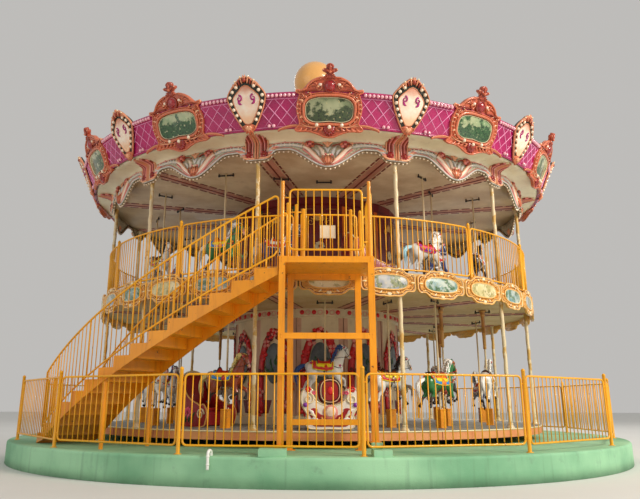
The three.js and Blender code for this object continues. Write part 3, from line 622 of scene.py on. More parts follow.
def make_paints():
    """Paint of the rails, stair, carvings, bulbs, drums and roof"""
    # The edges, carve and highlight colours below set painted shade in creases and painted highlights on
    # ridges and carved cells
    yellow, orange = rgb(246, 176, 42), rgb(248, 160, 14)
    paint("rail_yellow", yellow, 0.38, 0.12, 0.8, 0.12, rgb(190, 110, 30), 0.1, 0.1, rgb(150, 96, 40))
    paint("tower_orange", orange, 0.42, 0.14, 0.9, 0.14, rgb(150, 72, 12), 0.28, 0.14, rgb(110, 54, 24))
    paint("column_cream", rgb(232, 214, 176), 0.42, 0.1, 1.4, 0.4, rgb(190, 140, 74), 0.2, 0.2,
          rgb(180, 120, 50), worn_colour=rgb(204, 158, 62), worn=0.8)
    paint("plain_cream", rgb(226, 206, 170), 0.5, 0.1, 1.1, 0.3, rgb(160, 130, 96), 0.2)
    paint("valance_ground", rgb(206, 200, 172), 0.45, 0.14, 2.6, 0.4, rgb(190, 130, 110), 0.1, carve=24.0,
          highlight_colour=rgb(222, 222, 206))
    paint("magenta", rgb(174, 22, 94), 0.3, 0.2, 1.7, 0.1, rgb(110, 18, 62), 0.12, coat=0.5)
    paint("pink", rgb(255, 168, 210), 0.35, 0.1, 3.0, 0.1, rgb(210, 90, 150))
    paint("carving", rgb(192, 66, 36), 0.4, 0.22, 3.2, 0.2, rgb(124, 30, 18), 0.1, edges=0.45,
          highlight_colour=rgb(240, 152, 112), coat=0.35, carve=34.0, bump=0.4)
    paint("finial_red", rgb(112, 26, 20), 0.4, 0.25, 4.0, 0.15, rgb(60, 14, 10), edges=0.6,
          highlight_colour=rgb(204, 96, 66))
    paint("carving_dark", rgb(134, 36, 24), 0.4, 0.25, 4.0, 0.15, rgb(74, 18, 12), edges=0.35,
          highlight_colour=rgb(190, 84, 58))
    paint("carving_peach", rgb(232, 132, 88), 0.42, 0.2, 4.0, 0.15, rgb(190, 76, 44), edges=0.5,
          highlight_colour=rgb(252, 206, 166))
    paint("arm_pale", rgb(250, 214, 190), 0.42, 0.16, 4.0, 0.2, rgb(222, 132, 100), edges=0.5,
          highlight_colour=rgb(255, 240, 222))
    paint("pilaster", rgb(196, 96, 56), 0.42, 0.2, 4.0, 0.2, rgb(120, 44, 26), edges=0.5,
          highlight_colour=rgb(244, 180, 140))
    paint("carving_pink", rgb(214, 84, 84), 0.42, 0.2, 5.0, 0.15, rgb(160, 36, 36), edges=0.5,
          highlight_colour=rgb(250, 186, 172))
    paint("leaf_grey", rgb(188, 190, 192), 0.45, 0.16, 4.0, 0.2, rgb(128, 126, 134), edges=0.5,
          highlight_colour=rgb(240, 236, 224))
    paint("lip_brown", rgb(186, 156, 122), 0.5, 0.16, 3.0, 0.3, rgb(120, 90, 64))
    paint("leaf_green", rgb(40, 84, 44), 0.5, 0.35, 7.0, 0.2, rgb(18, 40, 22), edges=0.3)
    paint("trim_cream", rgb(250, 222, 180), 0.4, 0.12, 5.0, 0.2, rgb(220, 146, 96), edges=0.4)
    paint("border_black", rgb(36, 38, 26), 0.5, 0.3, 8.0, 0.25, rgb(62, 66, 44))
    paint("gem_red", rgb(156, 14, 26), 0.22, 0.2, 8.0, 0.08, rgb(90, 8, 14), coat=0.9)
    paint("bulb", rgb(255, 232, 206), 0.18, 0.06, 9.0, 0.06, rgb(240, 180, 150), coat=0.9, bump=0.03)
    paint("bulb_pink", rgb(255, 186, 200), 0.2, 0.1, 9.0, 0.05, rgb(240, 124, 160), coat=0.9, bump=0.03)
    paint("fascia_gold", rgb(236, 140, 52), 0.4, 0.16, 3.2, 0.22, rgb(190, 84, 28), 0.1, edges=0.6,
          highlight_colour=rgb(255, 208, 120), coat=0.4, carve=30.0)
    paint("fascia_dark", rgb(160, 78, 30), 0.5, 0.2, 5.0, 0.2, rgb(100, 46, 16))
    paint("scroll_magenta", rgb(176, 34, 120), 0.4, 0.2, 8.0, 0.1)
    paint("pole_cream", rgb(222, 200, 160), 0.35, 0.1, 1.2, 0.35, rgb(150, 116, 64), 0.2)
    paint("sleeve_bronze", rgb(172, 110, 46), 0.38, 0.3, 5.0, 0.3, rgb(90, 54, 24), edges=0.5,
          highlight_colour=rgb(240, 190, 110))
    paint("dark_metal", rgb(44, 36, 32), 0.5, 0.3, 6.0, 0.3, rgb(70, 56, 46))
    paint("pedestal", rgb(240, 156, 26), 0.45, 0.2, 3.0, 0.3, rgb(150, 76, 20), 0.2, 0.2)
    paint("drum_cream", rgb(206, 162, 136), 0.5, 0.14, 1.3, 0.3, rgb(150, 100, 80), 0.15)
    paint("medallion", rgb(84, 92, 96), 0.4, 0.4, 4.0, 0.5, rgb(40, 54, 42))
    paint("maroon", rgb(118, 22, 26), 0.42, 0.3, 2.4, 0.2, rgb(60, 10, 12))
    paint("panel_green", rgb(34, 88, 58), 0.45, 0.3, 2.4, 0.2, rgb(18, 44, 30))
    paint("panel_orange", rgb(224, 108, 36), 0.45, 0.25, 2.4, 0.2, rgb(150, 56, 18))
    paint("flower_red", rgb(196, 34, 38), 0.45, 0.3, 9.0, 0.2, rgb(120, 14, 20), edges=0.4)
    paint("flower_pink", rgb(230, 84, 120), 0.45, 0.25, 9.0, 0.15, rgb(170, 40, 80), edges=0.4)
    paint("flower_purple", rgb(128, 52, 160), 0.45, 0.25, 9.0, 0.15, rgb(80, 24, 110), edges=0.4)
    paint("flower_blue", rgb(60, 110, 200), 0.45, 0.25, 9.0, 0.15, rgb(30, 60, 140), edges=0.4)
    paint("band_pink", rgb(214, 154, 128), 0.5, 0.22, 2.2, 0.3, rgb(160, 84, 66), 0.1)
    paint("band_brown", rgb(132, 46, 34), 0.5, 0.3, 4.0, 0.2, rgb(90, 36, 28))
    paint("ball_gold", rgb(236, 178, 108), 0.3, 0.1, 1.0, 0.16, rgb(214, 130, 40), 0.1, coat=0.5)
    paint("roof_cream", rgb(216, 204, 172), 0.6, 0.12, 0.7, 0.35, rgb(140, 124, 96), 0.45)
    paint("sign_cream", rgb(252, 240, 210), 0.4, 0.06, 3.0, 0.1)
    paint("pipe_white", rgb(240, 240, 236), 0.35, 0.06, 6.0, 0.2)


def green_concrete():
    """Green floor paint on concrete: faded patches, dark streaks down the side, darker patches towards the
    foot, scuffs on top
    """
    make = Nodes("green_concrete")
    pale, deep = rgb(164, 212, 172), rgb(118, 172, 134)
    tone = make.mix(make.ramp(make.noise(0.55, 4.0), 0.32, 0.68), deep, pale)
    blotches = make.ramp(make.noise(3.2, 8.0, rough=0.7), 0.56, 0.74, 0.0, 0.45)
    tone = make.mix(blotches, tone, rgb(112, 140, 118))
    runs = make.ramp(make.noise(2.6, 6.0, make.stretched((3.4, 3.4, 0.25))), 0.54, 0.78, 0.0, 0.3)
    tone = make.mix(runs, tone, rgb(84, 108, 88))
    # Darker in patches towards the foot of the base
    low_darkening = make.ramp(make.axes()["Z"], 0.0, 0.16, 0.55, 0.0)
    grain = make.noise(60.0, 6.0)
    tone = make.mix(make.math("MULTIPLY", low_darkening, make.noise(5.0, 6.0)), tone, rgb(74, 96, 76))
    make.bump(grain, 0.35, 0.006)
    LOOKS["green_concrete"] = make.finish(tone, make.ramp(grain, 0.3, 0.7, 0.6, 0.85))


def canopy_cream():
    """Cream gloss paint on the cove, duller and browner on the flat ceiling as painted shade and warm bounced
    light
    """
    make = Nodes("canopy_cream")
    axes = make.axes()
    squares = [make.math("MULTIPLY", axes[name], axes[name]) for name in ("X", "Y")]
    radius = make.math("SQRT", make.math("ADD", *squares), 0)
    broad = make.ramp(make.noise(1.3, 4.0), 0.3, 0.7)
    # Painted shade and warm bounced light: the flat ceiling's cream is darker and browner than the cove's
    flat = make.mix(broad, rgb(200, 168, 132), rgb(226, 200, 164))
    cove = make.mix(broad, rgb(228, 214, 180), rgb(246, 236, 206))
    tone = make.mix(make.ramp(radius, VALANCE_RADIUS - 0.04, VALANCE_RADIUS - 0.01), flat, cove)
    runs = make.ramp(make.noise(5.0, 7.0, rough=0.65), 0.52, 0.76, 0.0, 0.3)
    tone = make.mix(runs, tone, rgb(170, 138, 106))
    grain = make.noise(GRAIN, 5.0)
    make.bump(grain, 0.12, 0.003)
    LOOKS["canopy_cream"] = make.finish(tone, make.ramp(grain, 0.3, 0.7, 0.36, 0.56), 0.0, 0.2)


def shield_cream():
    """Cream in the middle of a shield, shaded to brown over it and to peach under it"""
    make = Nodes("shield_panel")
    height = make.math("ADD", make.axes()["Z"], make.math("MULTIPLY", make.noise(5.0, 3.0), 0.16))
    cloud = make.ramp(make.noise(9.0, 3.0), 0.35, 0.7)
    tone = make.mix(cloud, rgb(252, 222, 200), rgb(255, 240, 222))
    tone = make.mix(make.ramp(height, 6.54, 6.74, 0.0, 0.85), tone, rgb(204, 124, 92))
    tone = make.mix(make.ramp(height, 6.16, 6.36, 0.7, 0.0), tone, rgb(246, 190, 140))
    grain = make.noise(GRAIN, 5.0)
    make.bump(grain, 0.1, 0.003)
    LOOKS["shield_panel"] = make.finish(tone, make.ramp(grain, 0.3, 0.7, 0.3, 0.5), 0.0, 0.3)


BOARD_WIDTH = 0.15


def boards(name, side_colours):
    """Grey floor boards on the faces that look up, and a painted rim on those that look out"""
    top_colours, gap_colour = (rgb(120, 120, 116), rgb(168, 168, 162)), rgb(50, 48, 46)
    make = Nodes(name)
    across = make.math("DIVIDE", make.axes()["X"], BOARD_WIDTH)
    cell = make.math("FLOOR", across, 0)
    inside = make.math("SUBTRACT", across, cell)
    gap = make.math("GREATER_THAN", make.math("ABSOLUTE", make.math("SUBTRACT", inside, 0.5), 0), 0.475)
    lined = make.noise(2.0, 5.0, make.stretched((22.0, 0.8, 1.0)))
    odd = make.node("ShaderNodeTexWhiteNoise", noise_dimensions="1D")
    make.link(cell, odd.inputs["W"])
    tone = make.mix(make.ramp(lined, 0.3, 0.7), *top_colours)
    tone = make.mix(make.math("MULTIPLY", odd.outputs["Value"], 0.3), tone, top_colours[0])
    stains = make.ramp(make.noise(1.2, 7.0, rough=0.7), 0.5, 0.75, 0.0, 0.5)
    tone = make.mix(gap, make.mix(stains, tone, shade(top_colours[0], 0.6)), gap_colour)
    side = make.mix(make.ramp(make.noise(1.6, 5.0), 0.3, 0.7), *side_colours)
    runs = make.ramp(make.noise(3.0, 6.0, make.stretched((5, 5, 0.6))), 0.55, 0.75, 0.0, 0.4)
    side = make.mix(runs, side, shade(side_colours[0], 0.55))
    normal = make.axes(make.node("ShaderNodeNewGeometry").outputs["Normal"])
    up = make.math("GREATER_THAN", normal["Z"], 0.5)
    height = make.math("SUBTRACT", make.noise(50.0, 4.0), make.math("MULTIPLY", gap, up))
    make.bump(height, 0.3, 0.004)
    LOOKS[name] = make.finish(make.mix(up, side, tone), make.ramp(lined, 0.2, 0.8, 0.55, 0.75))


def picture(name, sky, haze, near, far, bright, seed, ground=None):
    """A plain painted spray of foliage on a pale ground, denser below the height named ground"""
    make = Nodes(name)
    base = make.mix(make.ramp(make.noise(2.4 + seed, 2.0), 0.35, 0.65), sky, haze)
    growth = make.noise(5.0 + seed, 6.0, rough=0.6)
    if ground:
        low = make.ramp(make.axes()["Z"], ground - 0.2, ground + 0.2, 0.2, -0.06)
        growth = make.math("ADD", growth, low)
    clumps = make.ramp(growth, 0.47, 0.56)
    green = make.mix(make.ramp(make.cells(26.0), 0.1, 0.6), near, far)
    tone = make.mix(clumps, base, green)
    dots = make.ramp(make.noise(17.0 + seed, 5.0), 0.62, 0.68, 0.0, 0.8)
    tone = make.mix(dots, tone, bright)
    make.bump(make.noise(70.0, 4.0), 0.1, 0.002)
    LOOKS[name] = make.finish(tone, 0.3, 0.0, 0.6)


def make_pictures():
    """Three pictures for the boards and three for the fascia"""
    picture("picture_1", rgb(176, 178, 142), rgb(120, 132, 96), rgb(14, 24, 12), rgb(58, 74, 38),
            rgb(196, 186, 136), 0.0, BOARD_CENTRE)
    picture("picture_2", rgb(196, 196, 160), rgb(140, 152, 112), rgb(24, 38, 18), rgb(76, 96, 50),
            rgb(220, 210, 168), 0.7, BOARD_CENTRE)
    picture("picture_3", rgb(134, 160, 118), rgb(178, 184, 146), rgb(14, 40, 24), rgb(56, 92, 56),
            rgb(206, 208, 166), 1.3, BOARD_CENTRE)
    picture("picture_cream", rgb(240, 226, 184), rgb(216, 204, 150), rgb(140, 136, 84), rgb(190, 176, 118),
            rgb(250, 240, 210), 0.4)
    picture("picture_grey", rgb(150, 160, 176), rgb(200, 200, 196), rgb(84, 96, 80), rgb(150, 156, 120),
            rgb(246, 228, 180), 1.9)
    picture("picture_teal", rgb(120, 160, 164), rgb(200, 208, 196), rgb(40, 70, 52), rgb(96, 128, 92),
            rgb(244, 236, 208), 2.6)


def dress(node, look, bevel=0.0):
    """Gives a CAD node its look, and breaks its sharp edges"""
    nodes[node].data.materials.clear()
    nodes[node].data.materials.append(LOOKS[look])
    if bevel:
        soften = nodes[node].modifiers.new("edges", "BEVEL")
        soften.width = bevel
        soften.segments = 2
        soften.limit_method = "ANGLE"
        soften.angle_limit = math.radians(40)


# Railings: frames of round tube with upright bars

RAIL_RADIUS = 0.017
BAR_RADIUS = 0.009
FENCE_FRAME = (0.545, 1.57)
FENCE_POST_TOP = 1.645
DECK_FRAME = (3.466, 4.43)
DECK_POST_TOP = 4.475
GATE_START, GATE_END = -6 + 0.45, 6.0
LANDING_FRAME_FOOT = 3.495
LANDING_STUBS = (3.38, 3.53)


def rounded_frame(half, bottom, top, corner):
    """The centre line of a frame's tube, anticlockwise from its lower left"""
    steps = 24
    arc = np.linspace(0, math.pi / 2, 6)
    right, up = half - corner, top - corner
    left, low = -half + corner, bottom + corner
    parts = [np.stack([np.linspace(left, right, steps), np.full(steps, bottom)], -1)]
    parts.append(np.stack([right + corner * np.sin(arc[1:]), low - corner * np.cos(arc[1:])], -1))
    parts.append(np.stack([right + corner * np.cos(arc), up + corner * np.sin(arc)], -1))
    parts.append(np.stack([np.linspace(right, left, steps)[1:], np.full(steps - 1, top)], -1))
    parts.append(np.stack([left - corner * np.sin(arc[1:]), up + corner * np.cos(arc[1:])], -1))
    parts.append(np.stack([left - corner * np.cos(arc[:-1]), low - corner * np.sin(arc[:-1])], -1))
    return np.concatenate(parts)


def rail_panel(half, bottom, top, bars, corner=0.07):
    """One frame with its bars, flat, in (u, v, w)"""
    panel = Shape()
    line = rounded_frame(half, bottom, top, corner)
    panel.add(tube(np.column_stack([line, np.zeros(len(line))]), RAIL_RADIUS, 10, True), "rail_yellow")
    for u in np.linspace(-half, half, bars + 2)[1:-1]:
        panel.add(tube([(u, bottom, 0), (u, top, 0)], BAR_RADIUS, 7), "rail_yellow")
    return panel


def stubs(panel, near, far, heights):
    """Short tubes from a frame to the posts on both its sides"""
    for side in (-1, 1):
        for v in heights:
            panel.add(tube([(side * near, v, 0), (side * far, v, 0)], 0.011, 8), "rail_yellow")


def post_form(place, foot, top, radius=0.03, tip=0.03):
    """A round post with a domed tip and a plate at its foot"""
    profile = [(0, foot), (radius * 1.9, foot), (radius * 1.9, foot + 0.008), (radius * 1.1, foot + 0.012),
               (radius, foot + 0.02), (radius, top), (radius * 1.12, top + 0.003), (radius * 1.1, top + 0.01),
               (radius * 0.9, top + 0.45 * tip + 0.008), (radius * 0.5, top + 0.85 * tip + 0.008),
               (0, top + tip + 0.01)]
    return lathe(profile, 16, (place[0], place[1], 0))


def fence():
    """Five runs of panels round the base, with one bay left open as the entrance"""
    half_pitch = 180 / FENCE_BAYS
    half = FENCE_RADIUS * math.sin(math.radians(half_pitch))
    depth = FENCE_RADIUS * math.cos(math.radians(half_pitch))
    panel = rail_panel(half - 0.06, *FENCE_FRAME, 20)
    stubs(panel, half - 0.075, half - 0.012, (0.66, 1.45))
    bay = -3
    for number, bays in enumerate((3, 3, 3, 3, 2), 1):
        shape = Shape()
        for i in range(bays):
            middle = FENCE_TURN + (bay + i + 0.5) * 2 * half_pitch
            shape.take(panel, upright(depth, middle))
        for i in range(bays + (number == 5)):
            place = spot(FENCE_RADIUS, FENCE_TURN + (bay + i) * 2 * half_pitch)
            shape.add(post_form(place, BASE_TOP, FENCE_POST_TOP), "rail_yellow")
        shape.build(f"fence_run_{number}", "ground_works", "yellow_paint", [f"fence_section_{number}"])
        bay += bays


def deck_rails():
    """Four runs of curved panels round the upper deck, open at the gate, with a lug that stops the gate"""
    first = 6.6
    pitch = (360 - 2 * first) / DECK_RAIL_PANELS
    half = math.radians(pitch / 2) * DECK_RAIL_RADIUS - 0.05
    panel = rail_panel(half, *DECK_FRAME, 20)
    stubs(panel, half - 0.01, half + 0.03, (3.62, 4.28))
    index = 0
    for number, panels in enumerate((3, 4, 3, 3), 1):
        shape = Shape()
        last = number == 4
        for i in range(panels):
            middle = first + (index + i + 0.5) * pitch + ROTOR_TURN
            shape.take(panel, on_drum(DECK_RAIL_RADIUS, middle))
        for i in range(panels + last):
            place = spot(DECK_RAIL_RADIUS, first + (index + i) * pitch + ROTOR_TURN)
            shape.add(post_form(place, DECK_TOP, DECK_POST_TOP, 0.03, 0.05), "rail_yellow")
        if last:
            lug = Shape().add(block((-0.06, 3.42, -0.015), (0.06, 3.447, 0.015)), "rail_yellow", False)
            shape.take(lug, on_drum(DECK_RAIL_RADIUS, -first + 0.6 + ROTOR_TURN))
        shape.build(f"deck_railing_{number}", "carousel", "yellow_paint", [f"deck_rail_section_{number}"])
        index += panels


def deck_gate():
    """The gate's curved leaf with its hinge tube, and a small blank sign hooked over it"""
    half = math.radians(GATE_END - GATE_START) * DECK_RAIL_RADIUS / 2 - 0.004
    panel = rail_panel(half - 0.012, 3.468, DECK_FRAME[1], 8, 0.06)
    panel.add(tube([(-half, 3.456, 0), (-half, 4.443, 0)], 0.014, 10), "rail_yellow")
    sign = Shape()
    sign.add(slab(oblong(-0.14, 3.99, 0.14, 4.23), 0.012, 0.022, 0.004), "sign_cream", False)
    rim = half_round(0.014, 0.021, 0.006)
    sign.add(moulding(oblong(-0.13, 4.0, 0.13, 4.22), rim), "trim_cream", False)
    for u in (-0.1, 0.1):
        sign.add(block((u - 0.012, 4.2, -0.02), (u + 0.012, 4.24, 0.016)), "dark_metal", False)
    gate = Shape().take(panel, on_drum(DECK_RAIL_RADIUS, (GATE_START + GATE_END) / 2 + ROTOR_TURN))
    gate.take(sign, on_drum(DECK_RAIL_RADIUS, 0.9))
    gate.build("deck_gate_leaf", "deck_gate", "yellow_paint", ["deck_gate"])


# Stair, landing and tower

STAIR_START = -7.0
STAIR_TREAD = 3.28
STAIR_RISERS = 16
STAIR_RISE = (LANDING_TOP - BASE_TOP) / STAIR_RISERS
HANDRAIL_RISE = 1.035
TOWER_FRONT_POST = 0.7
TOWER_REAR_POST = 0.57


def nosing(angle):
    """Height of the line over the steps' edges"""
    return LANDING_TOP + (angle - STAIR_START) * STAIR_RISE / STAIR_TREAD


def stair_rail(name, radius, replaced):
    """A handrail, a lower rail and bars along the flight, with stout posts at every third step"""
    start = STAIR_START - (STAIR_RISERS - 1.3) * STAIR_TREAD
    end = STAIR_START - 0.5
    after = end + 0.55
    shape = Shape()
    angles = np.linspace(start, end, 60)
    low = np.array([spot(radius, a, nosing(a) + 0.055) for a in angles])
    high = np.array([spot(radius, a, nosing(a) + HANDRAIL_RISE) for a in angles])
    arc = np.linspace(0, 1, 6)[1:-1]
    corner = [spot(radius, end + 0.55 * math.sin(t * math.pi / 2),
                   nosing(end) + HANDRAIL_RISE - 0.055 * (1 - math.cos(t * math.pi / 2))) for t in arc]
    down = [spot(radius, after, nosing(end) + rise) for rise in (0.95, 0.12)]
    shape.add(tube(np.concatenate([low[:1], high, corner, down]), 0.018, 10), "rail_yellow")
    lower_end = spot(radius, after, nosing(end) + 0.14)
    shape.add(tube(np.concatenate([low, [lower_end]]), 0.016, 10), "rail_yellow")
    bars = 44
    for i in range(1, bars):
        a = start + (end - start) * i / bars
        stout = i % 9 == 5
        shape.add(tube([spot(radius, a, nosing(a) + 0.05), spot(radius, a, nosing(a) + HANDRAIL_RISE)],
                       0.016 if stout else BAR_RADIUS, 8), "rail_yellow")
    for i in range(0, STAIR_RISERS - 1, 3):
        a = STAIR_START - (i + 0.5) * STAIR_TREAD
        tread = LANDING_TOP - STAIR_RISE * (i + 1)
        shape.add(tube([spot(radius, a, tread), spot(radius, a, nosing(a) + 0.06)], 0.014, 8), "rail_yellow")
    shape.build(name, "ground_works", "yellow_paint", [replaced])


def landing_rails():
    """The landing's front rail, its rail on the right side and the short posts at its back"""
    front = rail_panel(0.585, LANDING_FRAME_FOOT, 4.495, 8)
    for side in (-1, 1):
        for v in (3.62, 4.36):
            front.add(tube([(side * 0.58, v, 0), (side * 0.66, v, 0)], 0.012, 8), "rail_yellow")
        front.add(tube([(side * 0.574, z, 0) for z in LANDING_STUBS], 0.014, 8), "rail_yellow")
    Shape().take(front, upright(6.33, 0)).build("landing_rail_front", "ground_works", "yellow_paint",
                                                ["landing_front_rail"])
    flank = rail_panel(0.405, LANDING_FRAME_FOOT, 4.475, 6)
    for side in (-1, 1):
        flank.add(tube([(side * 0.394, z, 0) for z in LANDING_STUBS], 0.014, 8), "rail_yellow")
    turned = moved((0.735, -5.84, 0), 90)
    stood = Shape().take(flank, lambda p: turned(np.stack([p[:, 0], p[:, 2], p[:, 1]], -1)))
    stood.build("landing_rail_side", "ground_works", "yellow_paint", ["landing_side_rail"])
    posts, back = Shape(), -5.27
    for x, top in ((-0.63, 4.57), (-0.48, 4.54), (-0.356, 4.46), (0.484, 4.45)):
        posts.add(post_form((x, back), LANDING_TOP, top, 0.03, 0.02), "rail_yellow")
    for z in (4.42, 3.56):
        posts.add(tube([(-0.63, back, z), (-0.356, back, z)], 0.012, 8), "rail_yellow")
    posts.build("landing_short_posts", "ground_works", "yellow_paint")


def tower_details():
    """Round posts over the landing, bolt heads, foot plates and the floor's seam"""
    shape = Shape()
    for x in (-TOWER_FRONT_POST, TOWER_FRONT_POST):
        for z in (3.33, 2.14):
            for dz in (-0.025, 0.025):
                bolt = lathe([(0, 0), (0.011, 0), (0.011, 0.006), (0.007, 0.009), (0, 0.009)], 6)
                points = np.stack([bolt[0][:, 0] + x, -6.38 - bolt[0][:, 2], bolt[0][:, 1] + z + dz], -1)
                shape.add((points, bolt[1]), "tower_orange", False)
        tip = [(0.029 * math.cos(t), 4.60 + 0.038 * math.sin(t)) for t in np.linspace(0, 1.45, 6)]
        floor = LANDING_TOP
        shape.add(lathe([(0, floor), (0.05, floor), (0.05, floor + 0.006), (0.031, floor + 0.014),
                         (0.029, floor + 0.03), *tip, (0, 4.639)], 16, (x, -6.33, 0)), "tower_orange")
        pad = 0.52 if x < 0 else 0.6
        plate = oblong(x - 0.085, -6.415, x + 0.085, -6.275)
        shape.add(slab(plate, pad, pad + 0.01, 0.003), "tower_orange", False)
    for x in (-TOWER_REAR_POST, TOWER_REAR_POST):
        plate = oblong(x - 0.09, -5.44, x + 0.09, -5.26)
        shape.add(slab(plate, BASE_TOP, BASE_TOP + 0.01, 0.003), "tower_orange", False)
    shape.add(block((-0.012, -6.3, 3.381), (0.012, -5.2, 3.386)), "tower_orange", False)
    shape.build("tower_fittings", "ground_works", "orange_paint")


def base():
    """The base with its rounded edge, and the drain pipe that comes down its side"""
    edge = 0.045
    turn = np.linspace(0, math.pi / 2, 7)
    rim = [(BASE_RADIUS - edge + edge * math.cos(t), BASE_TOP - edge + edge * math.sin(t)) for t in turn]
    profile = [(0, 0), (BASE_RADIUS, 0), (BASE_RADIUS, 0.2)] + rim + [(5.4, BASE_TOP), (0, BASE_TOP)]
    shape = Shape().add(lathe(profile, 180), "green_concrete")
    shape.build("base_slab", "ground_works", "green_concrete", ["concrete_base"])
    pipe, angle, reach = Shape(), -14.6, 6.815
    bends = [(6.69, 0.415), (6.695, 0.47), (6.74, 0.495), (6.795, 0.485), (reach, 0.44), (reach, 0.34),
             (reach, 0.24)]
    pipe.add(tube(through([spot(radius, angle, z) for radius, z in bends], 5), 0.021, 14), "pipe_white")
    for z in (0.30, 0.41):
        pipe.add(lathe([(0.015, z), (0.026, z), (0.026, z + 0.02), (0.015, z + 0.02)], 14,
                       spot(reach, angle)), "pipe_white")
    pipe.build("drain_pipe", "ground_works", "green_concrete")


# Platform, decks, columns and ceilings

def platform():
    """Trim line round the platform's rim and the upright joints of its skirt"""
    shape = Shape()
    steps, joints = 240, 24
    angles = np.arange(steps) * 360 / steps
    line = np.array([spot(PLATFORM_RADIUS - 0.004, a, PLATFORM_TOP - 0.004) for a in angles])
    shape.add(tube(line, 0.012, 8, True), "trim_cream")
    upright_line = oblong(-0.006, PLATFORM_BOTTOM + 0.004, 0.006, PLATFORM_TOP - 0.012)
    strip = Shape().add(slab(upright_line, 0, 0.004, 0.002), "band_brown", False)
    for i in range(joints):
        shape.take(strip, on_drum(PLATFORM_RADIUS, i * 15 + 7.5 + ROTOR_TURN))
    shape.build("platform_trim", "carousel", "cream_paint")


def columns_shape(first):
    """Three twisted columns of a quarter"""
    shape = Shape()
    top = CEILING - 0.01
    sides, rings = 10, 72
    z = np.linspace(PLATFORM_TOP + 0.09, top, rings)
    turn = np.arange(sides) * TAU / sides
    twist = 2 * (turn[None, :] - z[:, None] * TAU / 0.52)
    sway = 0.0035 * np.sin(z * TAU / 0.37)
    reach = 0.0385 + 0.0028 * np.cos(twist) + 0.0012 * np.sin(z * TAU / 0.11)[:, None]
    points = np.stack([reach * np.cos(turn) + sway[:, None], reach * np.sin(turn),
                       np.repeat(z[:, None], sides, 1)], -1)
    shaft = (points.reshape(-1, 3), [grid(rings, sides, False, True), *caps(sides, rings - 1)])
    foot = PLATFORM_TOP
    base_profile = [(0, foot), (0.078, foot), (0.08, foot + 0.012), (0.066, foot + 0.03),
                    (0.05, foot + 0.055), (0.047, foot + 0.075), (0.052, foot + 0.085), (0.046, foot + 0.098),
                    (0.03, foot + 0.1), (0, foot + 0.1)]
    collar = [(0.036, 0), (0.052, 0.0), (0.056, 0.012), (0.052, 0.024), (0.036, 0.026)]
    capital = [(0.03, -0.2), (0.05, -0.19), (0.053, -0.175), (0.047, -0.16), (0.06, -0.12), (0.078, -0.06),
               (0.09, -0.03), (0.09, -0.004), (0, -0.004)]
    for i in range(QUARTER_BAYS):
        centre = spot(COLUMN_CIRCLE, (first + i + 0.5) * BAY + ROTOR_TURN)
        shape.take(Shape().add(shaft, "column_cream"), moved(centre))
        shape.add(lathe(base_profile, 20, centre), "column_cream")
        for level in (DECK_BOTTOM - 0.03, DECK_TOP + 0.002):
            shape.add(lathe(collar, 18, centre + (0, 0, level), True), "column_cream")
        shape.add(lathe([(0, -0.2), *capital], 18, centre + (0, 0, top)), "column_cream")
    return shape


def valance_foot(angle):
    """Height of the valance's lower edge, by the angle from mid-bay"""
    off = np.abs(angle)
    lobe = 0.355 * (0.5 + 0.5 * np.cos(np.clip(off / 8.2, 0, 1) * math.pi)) ** 0.85
    bracket = 0.17 * (0.5 - 0.5 * np.cos(np.clip((off - 10.6) / 2.6, 0, 1) * math.pi))
    return CEILING - 0.07 - lobe - bracket


def valance_bay():
    """One bay of carved valance in (u, v, w), u = 0 at its lobe, before a lip with hanging bulbs"""
    bay = Shape()
    half = math.radians(BAY / 2) * VALANCE_RADIUS
    steps = 52
    u = np.linspace(-half, half, steps + 1)
    lamps = valance_foot(np.degrees(u / VALANCE_RADIUS))
    foot = lamps + 0.038
    rows = 3
    share = np.linspace(0, 1, rows)[:, None]
    v = foot[None] * (1 - share) + COVE_FOOT * share
    front = np.stack([np.repeat(u[None], rows, 0), v, np.full_like(v, 0.0)], -1).reshape(-1, 3)
    bay.add(shell(front, front - (0, 0, 0.03), rows, steps + 1), "valance_ground")
    bay.add(stroke(np.stack([u, foot + 0.008], -1), 0.034, 0.022, 0.0, 3), "leaf_grey")
    bay.add(stroke(np.stack([u, foot + 0.036], -1), 0.016, 0.018, 0.0, 2), "carving_pink")
    bay.add(stroke(np.stack([u, lamps + 0.03], -1), 0.075, 0.01, -0.045, 2), "lip_brown")
    along = np.concatenate([[0], np.cumsum(np.hypot(np.diff(u), np.diff(lamps)))])
    for s in np.arange(0.045, along[-1], 0.088):
        place = (np.interp(s, along, u), np.interp(s, along, lamps) + 0.002, -0.026)
        bay.add(ball(place, (0.021, 0.021, 0.021), 6, 4), "bulb")
    lobe_carving(bay)
    for side in (-1, 1):
        arch_carving(bay, side)
        bracket_carving(bay, side, half)
    return bay


